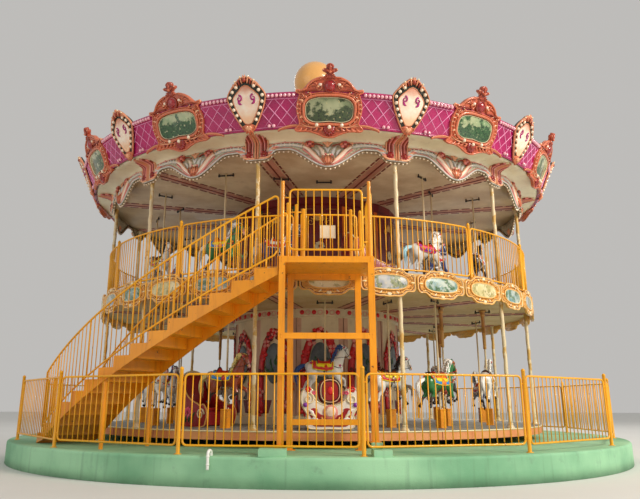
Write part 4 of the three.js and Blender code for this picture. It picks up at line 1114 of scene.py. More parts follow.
def lobe_carving(bay):
    """A basket at the lobe's foot, pale arms down both its sides, red knots over them and leaves between"""
    rng = np.random.default_rng(3)
    for side in (-1, 1):
        arm = sided(side, [(0.45, 5.745), (0.34, 5.67), (0.24, 5.56), (0.13, 5.455), (0.04, 5.40)], 6)
        bay.add(stroke(arm, 0.085 * taper(len(arm), 0.8, 1.05, 0.5), 0.05), "arm_pale")
        bay.add(stroke(arm + (side * -0.012, 0.03), 0.02, 0.05, 0.008, 2), "carving_peach")
        ribbon = sided(side, [(0.46, 5.70), (0.34, 5.60), (0.22, 5.48), (0.08, 5.375)], 6)
        bay.add(stroke(ribbon, 0.035, 0.03), "carving_pink")
        for k in range(9):
            turn = k * TAU / 8
            reach = 0.055 if k < 8 else 0.0
            place = (side * 0.33 + reach * 1.3 * math.cos(turn), 5.79 + reach * math.sin(turn), 0.02)
            size = rng.uniform(0.03, 0.042)
            bay.add(ball(place, (size * 1.1, size * 0.85, size), 6, 4),
                    ("carving_dark", "carving", "carving_pink")[k % 3])
        inward = sided(side, [(0.25, 5.80), (0.17, 5.79), (0.09, 5.755)], 4)
        bay.add(stroke(inward, 0.024, 0.03), "carving_dark")
        bay.add(leaf((side * 0.09, 5.54), (side * 0.17, 5.75), 0.085, 0.04, 0, side * 0.15),
                "arm_pale" if side < 0 else "leaf_grey")
        bay.add(leaf((side * 0.16, 5.56), (side * 0.26, 5.70), 0.06, 0.035, 0, side * 0.15), "leaf_grey")
        bay.add(leaf((0, 5.62), (side * 0.075, 5.735), 0.06, 0.03, 0, side * 0.2), "leaf_grey")
        bay.add(leaf((side * 0.02, 5.765), (side * 0.1, 5.83), 0.05, 0.03, 0, side * 0.2), "carving_peach")
    bay.add(leaf((0, 5.74), (0, 5.855), 0.10, 0.035), "carving_peach")
    bay.add(ball((0, 5.465, 0.0), (0.105, 0.10, 0.065), 12, 6), "carving_peach")
    for k in range(5):
        lean = (k - 2) * 0.038
        bay.add(stroke([(lean * 0.5, 5.375), (lean * 1.5, 5.46), (lean * 1.3, 5.55)], 0.02, 0.03, 0.045, 2),
                "carving")
    for k in range(5):
        bay.add(ball(((k - 2) * 0.038, 5.575 + 0.012 * (k % 2), 0.03), (0.027, 0.024, 0.026), 6, 4),
                ("arm_pale", "carving_pink", "trim_cream")[k % 3])


def arch_carving(bay, side):
    """Pale scrolling acanthus over the arch under a thin red garland"""
    centre = side * 0.80
    top = through([(centre - side * 0.33, 5.745), (centre - side * 0.18, 5.785), (centre, 5.79),
                   (centre + side * 0.18, 5.775), (centre + side * 0.36, 5.68)], 6)
    bay.add(stroke(top, 0.06, 0.03), "leaf_grey")
    for k, t in enumerate(np.linspace(0.08, 0.94, 9)):
        place = top[int(t * (len(top) - 1))]
        lean = (t - 0.5) * 0.09 * side
        bay.add(leaf(place, (place[0] + lean, place[1] + 0.048), 0.04, 0.024, 0.006, 0.1, 4),
                "leaf_grey" if k % 3 else "arm_pale")
        bay.add(ball((place[0] + lean, place[1] - 0.012, 0.03), (0.012, 0.012, 0.01), 5, 3), "trim_cream")
    garland = through([(centre - side * 0.42, 5.80), (centre - side * 0.22, 5.84), (centre, 5.838),
                       (centre + side * 0.2, 5.825), (centre + side * 0.36, 5.755)], 5)
    bay.add(stroke(garland, 0.018, 0.02), "carving_pink")
    for t in (0.12, 0.5, 0.88):
        place = garland[int(t * (len(garland) - 1))]
        bay.add_all(petals(place, 0.03, 4, 0.02, 0.008), "carving_pink" if t == 0.5 else "carving_peach")


def bracket_carving(bay, side, half):
    """Half of the upright bracket at a column: a pilaster, pleated drapery and a knot"""
    edge = side * half
    levels = [5.535, 5.68, *(COVE_FOOT + 0.4 * np.linspace(-0.1, 1, 12))]
    path = np.array([(edge - side * 0.024, v) for v in levels])
    bay.add(stroke(path, 0.048, 0.05), "pilaster")
    bay.add(stroke(path - (side * 0.026, 0), 0.014, 0.034, 0, 2), "trim_cream")
    folds = ((0.075, 5.57, 0.34, 0.042, "carving_pink"), (0.112, 5.66, 0.3, 0.038, "carving_dark"),
             (0.147, 5.67, 0.24, 0.036, "carving_pink"), (0.18, 5.68, 0.16, 0.034, "carving_dark"),
             (0.21, 5.68, 0.08, 0.032, "carving_peach"))
    for shift, low, high, wide, look in folds:
        heights = [low, (low + COVE_FOOT) / 2, *(COVE_FOOT + high * np.linspace(0, 1, 7))]
        fold = np.array([(edge - side * (shift + 0.01 - 0.02 * (v - low)), v) for v in heights])
        bay.add(stroke(fold, wide * taper(len(fold), 0.8, 1.0, 0.7), 0.045), look)
    knot = (edge - side * 0.145, 5.63)
    bay.add_all(petals(knot, 0.075, 6, 0.045, 0.02), "gem_red")
    bay.add(ball((knot[0], knot[1], 0.045), (0.034, 0.034, 0.026), 7, 4), "carving_dark")
    for k in range(5):
        tip = (edge - side * (0.28 + 0.04 * k), 5.625 + 0.034 * k)
        bay.add(leaf((edge - side * (0.19 + 0.016 * k), 5.62 + 0.026 * k), tip, 0.045, 0.035, 0, 0.1, 5),
                ("carving_peach", "carving_pink", "leaf_grey")[k % 3])
    foot = through([(edge - side * 0.3, 5.615), (edge - side * 0.2, 5.565), (edge - side * 0.05, 5.555)], 4)
    bay.add(stroke(foot, 0.055 * taper(len(foot), 0.3, 0.9, 1.0, 0.6), 0.045), "carving_peach")


def arcades():
    """Columns and valance of each quarter"""
    bay = valance_bay()
    for quarter in range(QUARTERS):
        first = quarter * QUARTER_BAYS
        shape = columns_shape(first)
        for i in range(QUARTER_BAYS):
            shape.take(bay, on_valance((first + i) * BAY + ROTOR_TURN))
        shape.build(f"columns_and_valance_{quarter + 1}", "carousel", "cream_paint",
                    [f"arcade_{quarter + 1}"])


# Fascia of the upper deck

FASCIA_RADIUS = 5.148
FASCIA_PANELS = 30
FASCIA_MIDDLE = 3.215


def fascia_outline(scale_u=1.0, scale_v=1.0, steps=2):
    """The lobed outline of a panel, scaled about its middle"""
    half = math.radians(180 / FASCIA_PANELS) * FASCIA_RADIUS - 0.011
    corners = [(0.0, 0.27), (0.10, 0.255), (0.18, 0.26), (0.26, 0.244), (0.315, 0.20), (0.36, 0.165),
               (0.42, 0.16), (0.47, 0.164), (0.505, 0.14), (half, 0.10)]
    right_top = through([(-0.10, 0.255), *corners], steps)[steps:]
    quarter = np.array([p for p in right_top if p[0] >= -1e-9])
    top = np.concatenate([quarter[::-1], quarter[1:] * (-1, 1)])
    ring = np.concatenate([top, top[::-1] * (1, -1)])
    keep = [0]
    for i in range(1, len(ring)):
        if np.hypot(*(ring[i] - ring[keep[-1]])) > 1e-4:
            keep.append(i)
    ring = ring[keep]
    return ring * (scale_u, scale_v) + (0, FASCIA_MIDDLE)


def pointed_oval(half_u, half_v, count=40, corner=0.8, centre=(0.0, 0.0)):
    """An oval that comes nearer to a point as corner grows"""
    turn = np.arange(count) * TAU / count
    c, s = np.cos(turn), np.sin(turn)
    u = half_u * np.sign(c) * np.abs(c) ** corner
    v = half_v * np.sign(s) * np.abs(s) ** 0.75
    return np.stack([u, v], -1) + centre


def fascia_panel(look):
    """A moulded panel: a lobed edge, double rims and an oval picture"""
    panel = Shape()
    panel.add(slab(fascia_outline(), -0.033, 0.0, 0.006), "fascia_gold")
    panel.add(moulding(fascia_outline(0.975, 0.95), half_round(0.03, -0.002, 0.02)), "fascia_gold")
    panel.add(moulding(fascia_outline(0.945, 0.89, 1), half_round(0.012, -0.001, 0.014, 2)), "trim_cream")
    panel.add(moulding(fascia_outline(0.91, 0.825, 1), half_round(0.016, -0.001, 0.006, 2)), "fascia_dark")
    panel.add(moulding(fascia_outline(0.87, 0.765, 1), half_round(0.024, -0.001, 0.018)), "fascia_gold")

    def oval(half_u, half_v):
        return pointed_oval(half_u, half_v, 26, 0.72, (0, FASCIA_MIDDLE))
    panel.add(moulding(oval(0.372, 0.138), half_round(0.03, -0.001, 0.024)), "fascia_gold")
    panel.add(moulding(oval(0.355, 0.125), half_round(0.012, 0.0, 0.016, 2)), "trim_cream")
    panel.add(slab(oval(0.352, 0.122), 0.0, 0.006, 0.003), look)
    for side in (-1, 1):
        for up in (-1, 1):
            start = 270 + side * 20 if up > 0 else 90 - side * 20
            panel.add(scroll((side * 0.40, FASCIA_MIDDLE + up * 0.10), 0.042, 1.2, start, 0.02, 0.02, 0,
                             side * up, 4), "fascia_gold")
            for k in range(3):
                root = (side * (0.05 + 0.085 * k), FASCIA_MIDDLE + up * (0.162 - 0.006 * k))
                tip = (side * (0.12 + 0.085 * k), FASCIA_MIDDLE + up * (0.208 - 0.014 * k))
                panel.add(leaf(root, tip, 0.034, 0.02, 0, side * up * 0.25, 4),
                          "trim_cream" if k == 1 else "fascia_gold")
        panel.add(leaf((side * 0.40, FASCIA_MIDDLE), (side * 0.51, FASCIA_MIDDLE), 0.07, 0.024, 0, 0, 6),
                  "fascia_gold")
        panel.add(leaf((side * 0.42, FASCIA_MIDDLE), (side * 0.50, FASCIA_MIDDLE), 0.022, 0.012, 0.018, 0, 5),
                  "trim_cream")
        panel.add_all(fan((0, FASCIA_MIDDLE + side * 0.195), 0.065, 130, 90 * side, 5, 0.024, 0),
                      "trim_cream")
    return panel


def fascia():
    """The ring of panels with a black strip between each two"""
    panels = [fascia_panel(look) for look in ("picture_cream", "picture_grey", "picture_teal")]
    strip = Shape().add(slab(oblong(-0.012, 3.12, 0.012, 3.31), -0.03, -0.012, 0.003), "border_black",
                        False)
    step = 360 / FASCIA_PANELS
    order = [0, 1, 2, 0, 2, 1, 0, 1]
    for quarter in range(QUARTERS):
        shape = Shape()
        for i in range(FASCIA_PANELS):
            angle = i * step
            if int(((angle + 0.01) % 360) // 90) != quarter:
                continue
            shape.take(panels[order[i % len(order)]], on_drum(FASCIA_RADIUS, angle + ROTOR_TURN))
            shape.take(strip, on_drum(FASCIA_RADIUS, angle + step / 2 + ROTOR_TURN))
        shape.build(f"deck_fascia_carving_{quarter + 1}", "carousel", "fascia_panels",
                    [f"deck_fascia_{quarter + 1}"])


# Cornice

def racetrack(half_u, half_v, count=40, centre=(0.0, 0.0), dent=0.0, power=3.2):
    """A rounded oblong, with a dent pushed up in its lower edge"""
    turn = np.arange(count) * TAU / count
    c, s = np.cos(turn), np.sin(turn)
    u = half_u * np.sign(c) * np.abs(c) ** (2 / power)
    v = half_v * np.sign(s) * np.abs(s) ** (2 / power)
    lower = s < 0
    v = v + np.where(lower, dent * np.exp(-(u / (half_u * 0.42)) ** 2), 0)
    return np.stack([u, v], -1) + centre


def mirrored(right_side):
    """A closed outline from its right half, listed from the foot up"""
    right = np.asarray(right_side, float)
    left = right[::-1] * (-1, 1)
    inner = [p for p in left if abs(p[0]) > 1e-6]
    return np.concatenate([right, inner])


def board_outline():
    """The lobed outline of a board, with a crest on top"""
    right = through([(0.0, 5.78), (0.10, 5.79), (0.2, 5.83), (0.34, 5.872), (0.46, 5.885), (0.6, 5.885),
                     (0.645, 5.92), (0.585, 5.965), (0.55, 6.02), (0.575, 6.11), (0.595, 6.22), (0.585, 6.34),
                     (0.55, 6.44), (0.535, 6.49), (0.595, 6.52), (0.58, 6.555), (0.5, 6.545), (0.45, 6.575),
                     (0.40, 6.625), (0.34, 6.68), (0.26, 6.72), (0.17, 6.748), (0.1, 6.75), (0.06, 6.79),
                     (0.0, 6.80)], 2)
    return mirrored(right)


def board(look):
    """A large carved board with an oval picture, in (u, v, w)"""
    form = Shape()
    outline = board_outline()
    form.add(slab(outline, -0.03, 0.035, 0.014), "carving")
    form.add(moulding(outline * (0.972, 1), half_round(0.034, 0.025, 0.028)), "carving")
    centre = (0, BOARD_CENTRE)
    picture_line = racetrack(0.42, 0.2, 40, centre, 0.03)
    form.add(slab(picture_line, 0.03, 0.04, 0.004), look)
    form.add(moulding(racetrack(0.427, 0.207, 40, centre, 0.03), half_round(0.014, 0.034, 0.018, 2)),
             "trim_cream")
    form.add(moulding(racetrack(0.466, 0.247, 40, centre, 0.02), half_round(0.062, 0.03, 0.044)), "carving")
    form.add(moulding(racetrack(0.515, 0.284, 40, centre), half_round(0.024, 0.03, 0.028)), "carving")
    for side in (-1, 1):
        for k in range(9):
            angle = math.radians(-50 + 12.5 * k)
            root = (side * 0.51 * math.cos(angle), BOARD_CENTRE + 0.285 * math.sin(angle))
            tip = (side * (0.575 * math.cos(angle) + 0.012), BOARD_CENTRE + 0.34 * math.sin(angle) + 0.03)
            form.add(leaf(root, tip, 0.052, 0.036, 0.03, side * 0.25),
                     "carving_peach" if k % 4 == 2 else "carving")
            form.add(ball((tip[0] * 0.985, tip[1], 0.052), (0.01, 0.01, 0.009), 5, 3), "trim_cream")
        form.add(scroll((side * 0.5, 6.465), 0.045, 1.3, 270, 0.026, 0.034, 0.03, -side, 5), "carving")
        crest = sided(side, [(0.55, 6.535), (0.44, 6.555), (0.37, 6.635), (0.27, 6.70), (0.15, 6.725)], 5)
        form.add(stroke(crest, 0.045 * taper(len(crest), 0.4, 1.0, 0.6), 0.036, 0.03), "carving")
        low = sided(side, [(0.5, 6.50), (0.42, 6.53), (0.3, 6.545), (0.18, 6.53)], 4)
        form.add(stroke(low, 0.03 * taper(len(low), 0.4, 1.0, 0.5), 0.034, 0.03), "carving_dark")
        form.add(ball((side * 0.163, 6.635, 0.04), (0.034, 0.03, 0.026), 8, 4), "arm_pale")
        form.add(ball((side * 0.205, 6.605, 0.04), (0.028, 0.022, 0.02), 7, 4), "carving_peach")
        form.add(scroll((side * 0.2, 6.60), 0.075, 0.9, 60, 0.024, 0.03, 0.03, side, 6), "carving")
        for k in range(3):
            form.add(leaf((side * 0.22, 6.62), (side * (0.3 + 0.035 * k), 6.675 - 0.045 * k), 0.04, 0.026,
                          0.03, side * 0.2), "carving_dark" if k == 1 else "carving")
        form.add(scroll((side * 0.57, 6.535), 0.032, 1.0, 90, 0.022, 0.03, 0.016, -side, 5), "carving_peach")
        for k in range(5):
            root = (side * (0.12 + 0.095 * k), 5.95 - 0.004 * k)
            tip = (side * (0.2 + 0.105 * k), 5.895 + 0.004 * k)
            form.add(leaf(root, tip, 0.05, 0.034, 0.03, -side * 0.3), "carving")
        lower = sided(side, [(0.1, 5.985), (0.24, 5.95), (0.38, 5.955), (0.52, 6.01)], 5)
        form.add(stroke(lower, 0.028 * taper(len(lower), 0.5, 1.0, 0.3), 0.03, 0.03), "carving_peach")
        form.add(ball((side * 0.228, 5.983, 0.07), (0.035, 0.035, 0.032), 8, 5), "bulb")
    form.add(ball((0, 5.95, 0.085), (0.035, 0.035, 0.032), 8, 5), "bulb")
    form.add_all(fan((0, 5.93), 0.145, 190, 270, 9, 0.042, 0.032), "gem_red")
    form.add_all(fan((0, 5.93), 0.085, 160, 270, 5, 0.04, 0.055), "carving_dark")
    form.add(lathe([(0, 0.03), (0.1, 0.03), (0.102, 0.045), (0.092, 0.05), (0.086, 0.046), (0.08, 0.07),
                    (0.052, 0.094), (0, 0.1)], 18, (0, 6.607, 0)), "gem_red")
    form.add(moulding(racetrack(0.106, 0.106, 18, (0, 6.607), 0, 2.0), half_round(0.024, 0.03, 0.032)),
             "carving_dark")
    finial(form)
    return form


def finial(form):
    """A small dark fleur over the crest"""
    right = through([(0.0, 6.72), (0.07, 6.735), (0.085, 6.77), (0.05, 6.80), (0.075, 6.825), (0.125, 6.85),
                     (0.13, 6.885), (0.095, 6.90), (0.06, 6.895), (0.07, 6.93), (0.045, 6.965),
                     (0.0, 6.98)], 2)
    form.add(slab(mirrored(right), -0.035, 0.05, 0.018), "finial_red")
    for angle, reach, width in ((90, 0.14, 0.055), (28, 0.095, 0.05), (152, 0.095, 0.05)):
        turn = math.radians(angle)
        form.add(leaf((0, 6.83), (reach * math.cos(turn), 6.83 + reach * math.sin(turn)), width, 0.04, 0.04),
                 "finial_red")
    form.add(ball((0, 6.835, 0.07), (0.028, 0.028, 0.024), 7, 4), "carving")
    for side in (-1, 1):
        form.add(scroll((side * 0.075, 6.765), 0.036, 1.1, 90, 0.022, 0.04, 0.03, side, 5), "finial_red")
        form.add(ball((side * 0.118, 6.878, 0.05), (0.014, 0.014, 0.012), 5, 3), "carving_peach")


def shield_outline(scale=1.0, lift=0.0):
    """The kite's outline, scaled about the shield's middle and lifted"""
    right = through([(0.0, 5.92), (0.10, 5.945), (0.17, 6.03), (0.22, 6.10), (0.293, 6.225), (0.36, 6.37),
                     (0.39, 6.47), (0.385, 6.53), (0.343, 6.596), (0.26, 6.67), (0.18, 6.73), (0.10, 6.80),
                     (0.0, 6.83)], 2)
    return (mirrored(right) - (0.0, SHIELD_CENTRE)) * (0.9 * scale, scale) + (0.0, SHIELD_CENTRE + lift)


def shield():
    """A kite-shaped shield with bulbs up both sides of its panel"""
    form = Shape()
    form.add(slab(shield_outline(), -0.02, 0.04, 0.012), "border_black")
    form.add(moulding(shield_outline(0.99), half_round(0.028, 0.022, 0.04)), "pilaster")
    form.add(slab(shield_outline(0.69, -0.02), 0.035, 0.052, 0.008), "shield_panel")
    form.add(moulding(shield_outline(0.70, -0.02), half_round(0.02, 0.035, 0.026)), "pilaster")
    lane = shield_outline(0.855)
    along = np.concatenate([[0], np.cumsum(np.linalg.norm(np.diff(lane, axis=0), axis=1))])
    half_way = along[int(np.argmax(lane[:, 1]))]
    for side in (-1, 1):
        for k in range(7):
            s = half_way * (0.2 + 0.102 * k)
            u, v = np.interp(s, along, lane[:, 0]), np.interp(s, along, lane[:, 1])
            form.add(ball((side * u, v, 0.058), (0.033, 0.033, 0.032), 8, 4), "bulb")
        form.add(scroll((side * 0.13, 6.48), 0.055, 1.1, 90, 0.036, 0.014, 0.052, side, 5), "scroll_magenta")
        form.add(leaf((side * 0.15, 6.45), (side * 0.085, 6.375), 0.046, 0.014, 0.052, side * 0.2),
                 "scroll_magenta")
        crest = sided(side, [(0.3, 6.605), (0.22, 6.69), (0.14, 6.755), (0.07, 6.815)], 4)
        form.add(stroke(crest, 0.045 * taper(len(crest), 0.4, 0.9, 0.9), 0.05, 0.02), "pilaster")
        for k in range(5):
            root = (side * 0.045 * k, 6.735 - 0.02 * k)
            tip = (side * (0.02 + 0.05 * k), 6.862 - 0.034 * k)
            form.add(leaf(root, tip, 0.042, 0.034, 0.045, 0, 5), "carving_dark" if k == 2 else "pilaster")
            if k % 2:
                form.add(ball((*tip, 0.062), (0.018, 0.018, 0.016), 6, 3), "trim_cream")
        start = 200 if side > 0 else -20
        form.add(scroll((side * 0.1, 5.985), 0.045, 1.1, start, 0.028, 0.045, 0.03, -side, 5), "carving")
    form.add(ball((0, 6.77, 0.065), (0.036, 0.042, 0.03), 8, 4), "carving_dark")
    form.add_all(fan((0, 6.02), 0.15, 160, 270, 7, 0.05, 0.03), "carving")
    form.add_all(fan((0, 6.01), 0.085, 130, 270, 5, 0.045, 0.06), "carving_peach")
    return form


def lattice(form, side):
    """Crossing pink strips on one side of the board"""
    low, high = CORNICE_BOTTOM + 0.045, CORNICE_TOP - 0.1
    near, far = 0.52, 1.26
    pitch, rise = 0.23, 0.25
    for hand in (-1, 1):
        for k in range(-3, 8):
            start = near + pitch * k + 0.04
            line = np.array([(start, low), (start + (high - low) * pitch / rise, high)])
            if hand < 0:
                line = line[::-1] * (1, 0) + line * (0, 1)
            line = line[np.argsort(line[:, 0])]
            span = np.clip(line[:, 0], near, far)
            if span[1] - span[0] > 0.03:
                ends = np.stack([span, np.interp(span, line[:, 0], line[:, 1])], -1)
                path = ends[0] + (ends[1] - ends[0]) * np.linspace(0, 1, 4)[:, None]
                form.add(stroke(path * (side, 1), 0.017, 0.012, -0.004, 2), "pink")


def cornice_bay():
    """The magenta band of one bay with its lattice, rails and rows of bulbs, u = 0 at the board"""
    form = Shape()
    half = math.radians(BAY / 2) * CORNICE_CIRCLE
    steps = 24
    u = np.linspace(-half, half, steps + 1)
    section = [(CORNICE_BOTTOM, 0.0), (CORNICE_BOTTOM + 0.04, 0.006), (CORNICE_BOTTOM + 0.3, -0.006),
               (CORNICE_TOP - 0.05, 0.004), (CORNICE_TOP, 0.0), (CORNICE_TOP, -0.045),
               (CORNICE_BOTTOM, -0.045)]
    rows = [np.column_stack([u, np.full_like(u, v), np.full_like(u, w)]) for v, w in section]
    points = np.stack(rows, 1).reshape(-1, 3)
    form.add((points, [grid(steps + 1, len(section), False, True), *caps(len(section), steps)]), "magenta")
    for v, width, height, foot, look in ((CORNICE_TOP - 0.012, 0.05, 0.034, -0.004, "magenta"),
                                         (CORNICE_TOP - 0.095, 0.012, 0.01, -0.001, "pink"),
                                         (CORNICE_BOTTOM + 0.012, 0.04, 0.026, -0.002, "magenta"),
                                         (CORNICE_BOTTOM + 0.036, 0.01, 0.012, 0.0, "pink")):
        form.add(stroke(np.column_stack([u, np.full_like(u, v)]), width, height, foot), look)
    for side in (-1, 1):
        lattice(form, side)
        lamps = [(0.635 + 0.075 * k, CORNICE_TOP - 0.04) for k in range(7)]
        lamps += [(1.02 + 0.085 * k, CORNICE_BOTTOM + 0.06) for k in range(2)]
        for across, v in lamps:
            form.add(ball((side * across, v, 0.03), (0.034, 0.034, 0.032), 7, 4), "bulb_pink")
        wave = sided(side, [(0.4, 5.945), (0.62, 5.972), (0.78, 5.955), (0.9, 5.925), (0.95, 5.895)], 7)
        form.add(stroke(wave, 0.06 * taper(len(wave), 1.0, 1.0, 0.5), 0.036, 0.0), "carving")
        form.add(stroke(wave + (0, 0.014), 0.016, 0.012, 0.03, 2), "carving_peach")
        form.add(scroll((side * 0.93, 5.92), 0.03, 1.1, 90, 0.018, 0.03, 0.004, side), "carving")
    return form


def cornice():
    """Band, board and shield of each bay"""
    boards_made = [board(look) for look in ("picture_1", "picture_2", "picture_3")]
    shield_made = shield()
    bay = cornice_bay()
    order = [0, 2, 1, 0, 1, 2]
    for quarter in range(QUARTERS):
        shape = Shape()
        for i in range(QUARTER_BAYS):
            number = quarter * QUARTER_BAYS + i
            place = on_cornice(number * BAY + ROTOR_TURN)
            shape.take(bay, place)
            shape.take(boards_made[order[number % len(order)]], place)
            shape.take(shield_made, on_cornice((number - 0.5) * BAY + ROTOR_TURN))
        shape.build(f"cornice_carving_{quarter + 1}", "carousel", "magenta_panels",
                    [f"cornice_{quarter + 1}"])


def ceilings():
    """A broad painted band between two lines of dashes, at each column, under both ceilings"""
    for name, level in (("upper_ceiling_bands", CEILING), ("soffit_bands", DECK_BOTTOM)):
        shape = Shape()
        inner, outer = 2.1, 5.0
        rib = Shape().add(slab(oblong(-0.13, inner, 0.13, outer), -0.004, 0.01, 0.005), "band_pink", False)
        rib.add(slab(oblong(-0.016, inner, 0.016, outer), -0.004, 0.022, 0.006), "band_brown", False)
        for side in (-1, 1):
            for k in range(11):
                start, edge = inner + 0.06 + k * 0.26, side * 0.175
                dash = oblong(edge - 0.018, start, edge + 0.018, start + 0.19)
                rib.add(slab(dash, -0.002, 0.008, 0.002), "band_brown", False)
        for i in range(BAYS):
            angle = (i + 0.5) * BAY + ROTOR_TURN
            along, out = spot(1, angle + 90), spot(1, angle)

            def under(points):
                flat = points[:, :1] * along + points[:, 1:2] * out
                return np.column_stack([flat[:, :2], level - points[:, 2]])
            shape.take(rib, under)
        shape.build(name, "carousel", "cream_paint")


def ceiling_and_cove():
    """The canopy's flat ceiling, an upright strip behind the valance, and a hollow cove out to the cornice"""
    hollow = cove_line()
    edge, rim, top = VALANCE_RADIUS, hollow[-1][0], CEILING + 0.06
    section = [(0, CEILING), (edge - 0.006, CEILING), (edge - 0.006, COVE_FOOT - 0.003), *hollow[1:],
               (rim, CORNICE_BOTTOM + 0.036), (edge + 0.1, CORNICE_BOTTOM + 0.03),
               (edge - 0.05, COVE_FOOT + 0.03), (edge - 0.05, top), (0, top)]
    whole = Shape().add(lathe(section, 120), "canopy_cream")
    whole.build("ceiling_and_cove", "carousel", "cream_paint", ["canopy_ceiling"])


def roof_globe():
    """The ball on the roof, on a short neck"""
    turn = np.linspace(-1.2, math.pi / 2, 30)
    foot, top = (corner.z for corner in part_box("roof_ball"))
    radius = 0.58
    curve = [(radius * math.cos(t), top - radius + radius * math.sin(t)) for t in turn[:-1]]
    globe = Shape().add(lathe([(0, foot), (0.21, foot), (0.19, foot + 0.03), *curve, (0, top)], 48),
                        "ball_gold")
    globe.build("roof_globe", "carousel", "gold_paint", ["roof_ball"])


def drum_ground(z0, z1, look):
    """The flat ground of one drum panel between two heights"""
    half = DRUM_RADIUS * TAU / BAYS / 2 - 0.006
    return Shape().add(slab(oblong(-half, z0 + 0.2, half, z1 - 0.2), 0.0, 0.012, 0.005), look, False)


def lower_drum_panel(rng):
    """A flowered arch over a grey medallion, under a row of rings and red dots"""
    z0, z1 = PLATFORM_TOP, DECK_BOTTOM
    edge = DRUM_RADIUS * TAU / BAYS / 2 - 0.006
    panel = drum_ground(z0, z1, "drum_cream")
    panel.add(stroke([(-edge, z0 + 0.2), (-edge, z1 - 0.2)], 0.012, 0.014, 0.006, 2), "band_brown")
    for k in range(-3, 4):
        place = (k * 0.13, z1 - 0.085)
        if k % 2 == 0:
            panel.add(moulding(racetrack(0.05, 0.05, 12, place, 0, 2.0), half_round(0.014, 0.05, 0.01, 2)),
                      "carving_pink")
        else:
            panel.add(ball((*place, 0.05), (0.052, 0.052, 0.014), 10, 4), "flower_red")
    panel.add(slab(racetrack(0.22, 0.44, 26, (0, 1.98), 0, 2.0), 0.01, 0.018, 0.004), "medallion")
    arch = through([(-0.34, 0.95), (-0.36, 1.5), (-0.33, 2.05), (-0.22, 2.42), (-0.1, 2.58), (0.0, 2.66),
                    (0.1, 2.58), (0.22, 2.42), (0.33, 2.05), (0.36, 1.5), (0.34, 0.95)], 4)
    panel.add(stroke(arch, 0.17, 0.018, 0.008, 2), "flower_red")
    for k, place in enumerate(arch[::3]):
        centre = place + rng.uniform(-0.03, 0.03, 2)
        bloom = petals(centre, rng.uniform(0.09, 0.13), 4, 0.014, 0.02, rng.uniform(0, 1))
        panel.add_all(bloom, ("flower_red", "carving_pink", "maroon")[k % 3])
    for k in range(9):
        root = (rng.uniform(-0.16, 0.16), rng.uniform(1.55, 2.1))
        tip = (root[0] + rng.uniform(-0.1, 0.1), root[1] + rng.uniform(0.03, 0.16))
        panel.add(leaf(root, tip, 0.05, 0.012, 0.016, 0.2), "leaf_green")
    foot = [(-0.4, 0.92), (0.4, 0.92), (0.34, 1.2), (-0.34, 1.2)]
    return panel.add(slab(foot, 0.01, 0.022, 0.005), "maroon")


def upper_drum_panel(number):
    """A gold frame round a rosette between two shells with scrolls"""
    z0, z1 = DECK_TOP, CEILING
    panel = drum_ground(z0, z1, ("maroon", "panel_orange", "maroon", "panel_green")[number % 4])
    frame_line = oblong(-0.42, z0 + 0.28, 0.42, z1 - 0.28)
    panel.add(moulding(frame_line, half_round(0.026, 0.01, 0.016)), "fascia_gold", False)
    for up in (-1, 1):
        middle = (z0 + z1) / 2 + up * 0.62
        panel.add_all(fan((0, middle), 0.16, 150, 90 * up, 7, 0.016, 0.012), "fascia_gold")
        for side in (-1, 1):
            centre = (side * 0.2, middle - up * 0.05)
            panel.add(scroll(centre, 0.09, 1.4, 90 * up, 0.026, 0.014, 0.012, side * up), "fascia_gold")
    rosette = petals((0, (z0 + z1) / 2), 0.12, 8, 0.016, 0.014)
    return panel.add_all(rosette, "flower_pink" if number % 2 else "trim_cream")


def drums():
    """Painted panels round both centre drums"""
    rng = np.random.default_rng(7)
    lower, upper = Shape(), Shape()
    for i in range(BAYS):
        place = on_drum(DRUM_RADIUS, i * BAY + ROTOR_TURN)
        lower.take(lower_drum_panel(rng), place)
        upper.take(upper_drum_panel(i), place)
    lower.build("lower_drum_panels", "carousel", "painted_panels")
    upper.build("upper_drum_panels", "carousel", "painted_panels")


# Horses: local x runs to the head, y to the left, z up from the middle of the barrel

TRUNK = [(-0.405, 0.035, 0.02, 0.03), (-0.385, 0.04, 0.07, 0.08), (-0.33, 0.035, 0.115, 0.125),
         (-0.25, 0.025, 0.132, 0.142), (-0.14, 0.005, 0.128, 0.132), (-0.02, -0.008, 0.126, 0.13),
         (0.09, -0.005, 0.128, 0.138), (0.18, 0.015, 0.125, 0.15), (0.255, 0.04, 0.105, 0.14),
         (0.31, 0.06, 0.07, 0.105), (0.335, 0.07, 0.025, 0.05)]
NECK = [(0.17, 0.05, 0.09, 0.13), (0.235, 0.13, 0.08, 0.125), (0.285, 0.22, 0.062, 0.1),
        (0.318, 0.31, 0.05, 0.082), (0.338, 0.385, 0.044, 0.068), (0.345, 0.425, 0.03, 0.045)]
HEAD = [(0.318, 0.43, 0.03, 0.034), (0.35, 0.418, 0.05, 0.06), (0.388, 0.385, 0.053, 0.07),
        (0.42, 0.34, 0.043, 0.058), (0.447, 0.295, 0.034, 0.044), (0.468, 0.258, 0.031, 0.037),
        (0.486, 0.228, 0.034, 0.035), (0.496, 0.208, 0.02, 0.022)]
HIND_LEGS = (
    [(-0.29, -0.02, 0.065, 0.12), (-0.275, -0.13, 0.058, 0.085), (-0.30, -0.20, 0.036, 0.05),
     (-0.365, -0.25, 0.026, 0.036), (-0.40, -0.31, 0.02, 0.024), (-0.425, -0.365, 0.025, 0.026),
     (-0.447, -0.395, 0.03, 0.03)],
    [(-0.27, -0.02, 0.065, 0.12), (-0.235, -0.13, 0.058, 0.085), (-0.245, -0.21, 0.036, 0.05),
     (-0.30, -0.275, 0.026, 0.036), (-0.305, -0.335, 0.02, 0.024), (-0.32, -0.375, 0.025, 0.026),
     (-0.337, -0.40, 0.03, 0.03)])
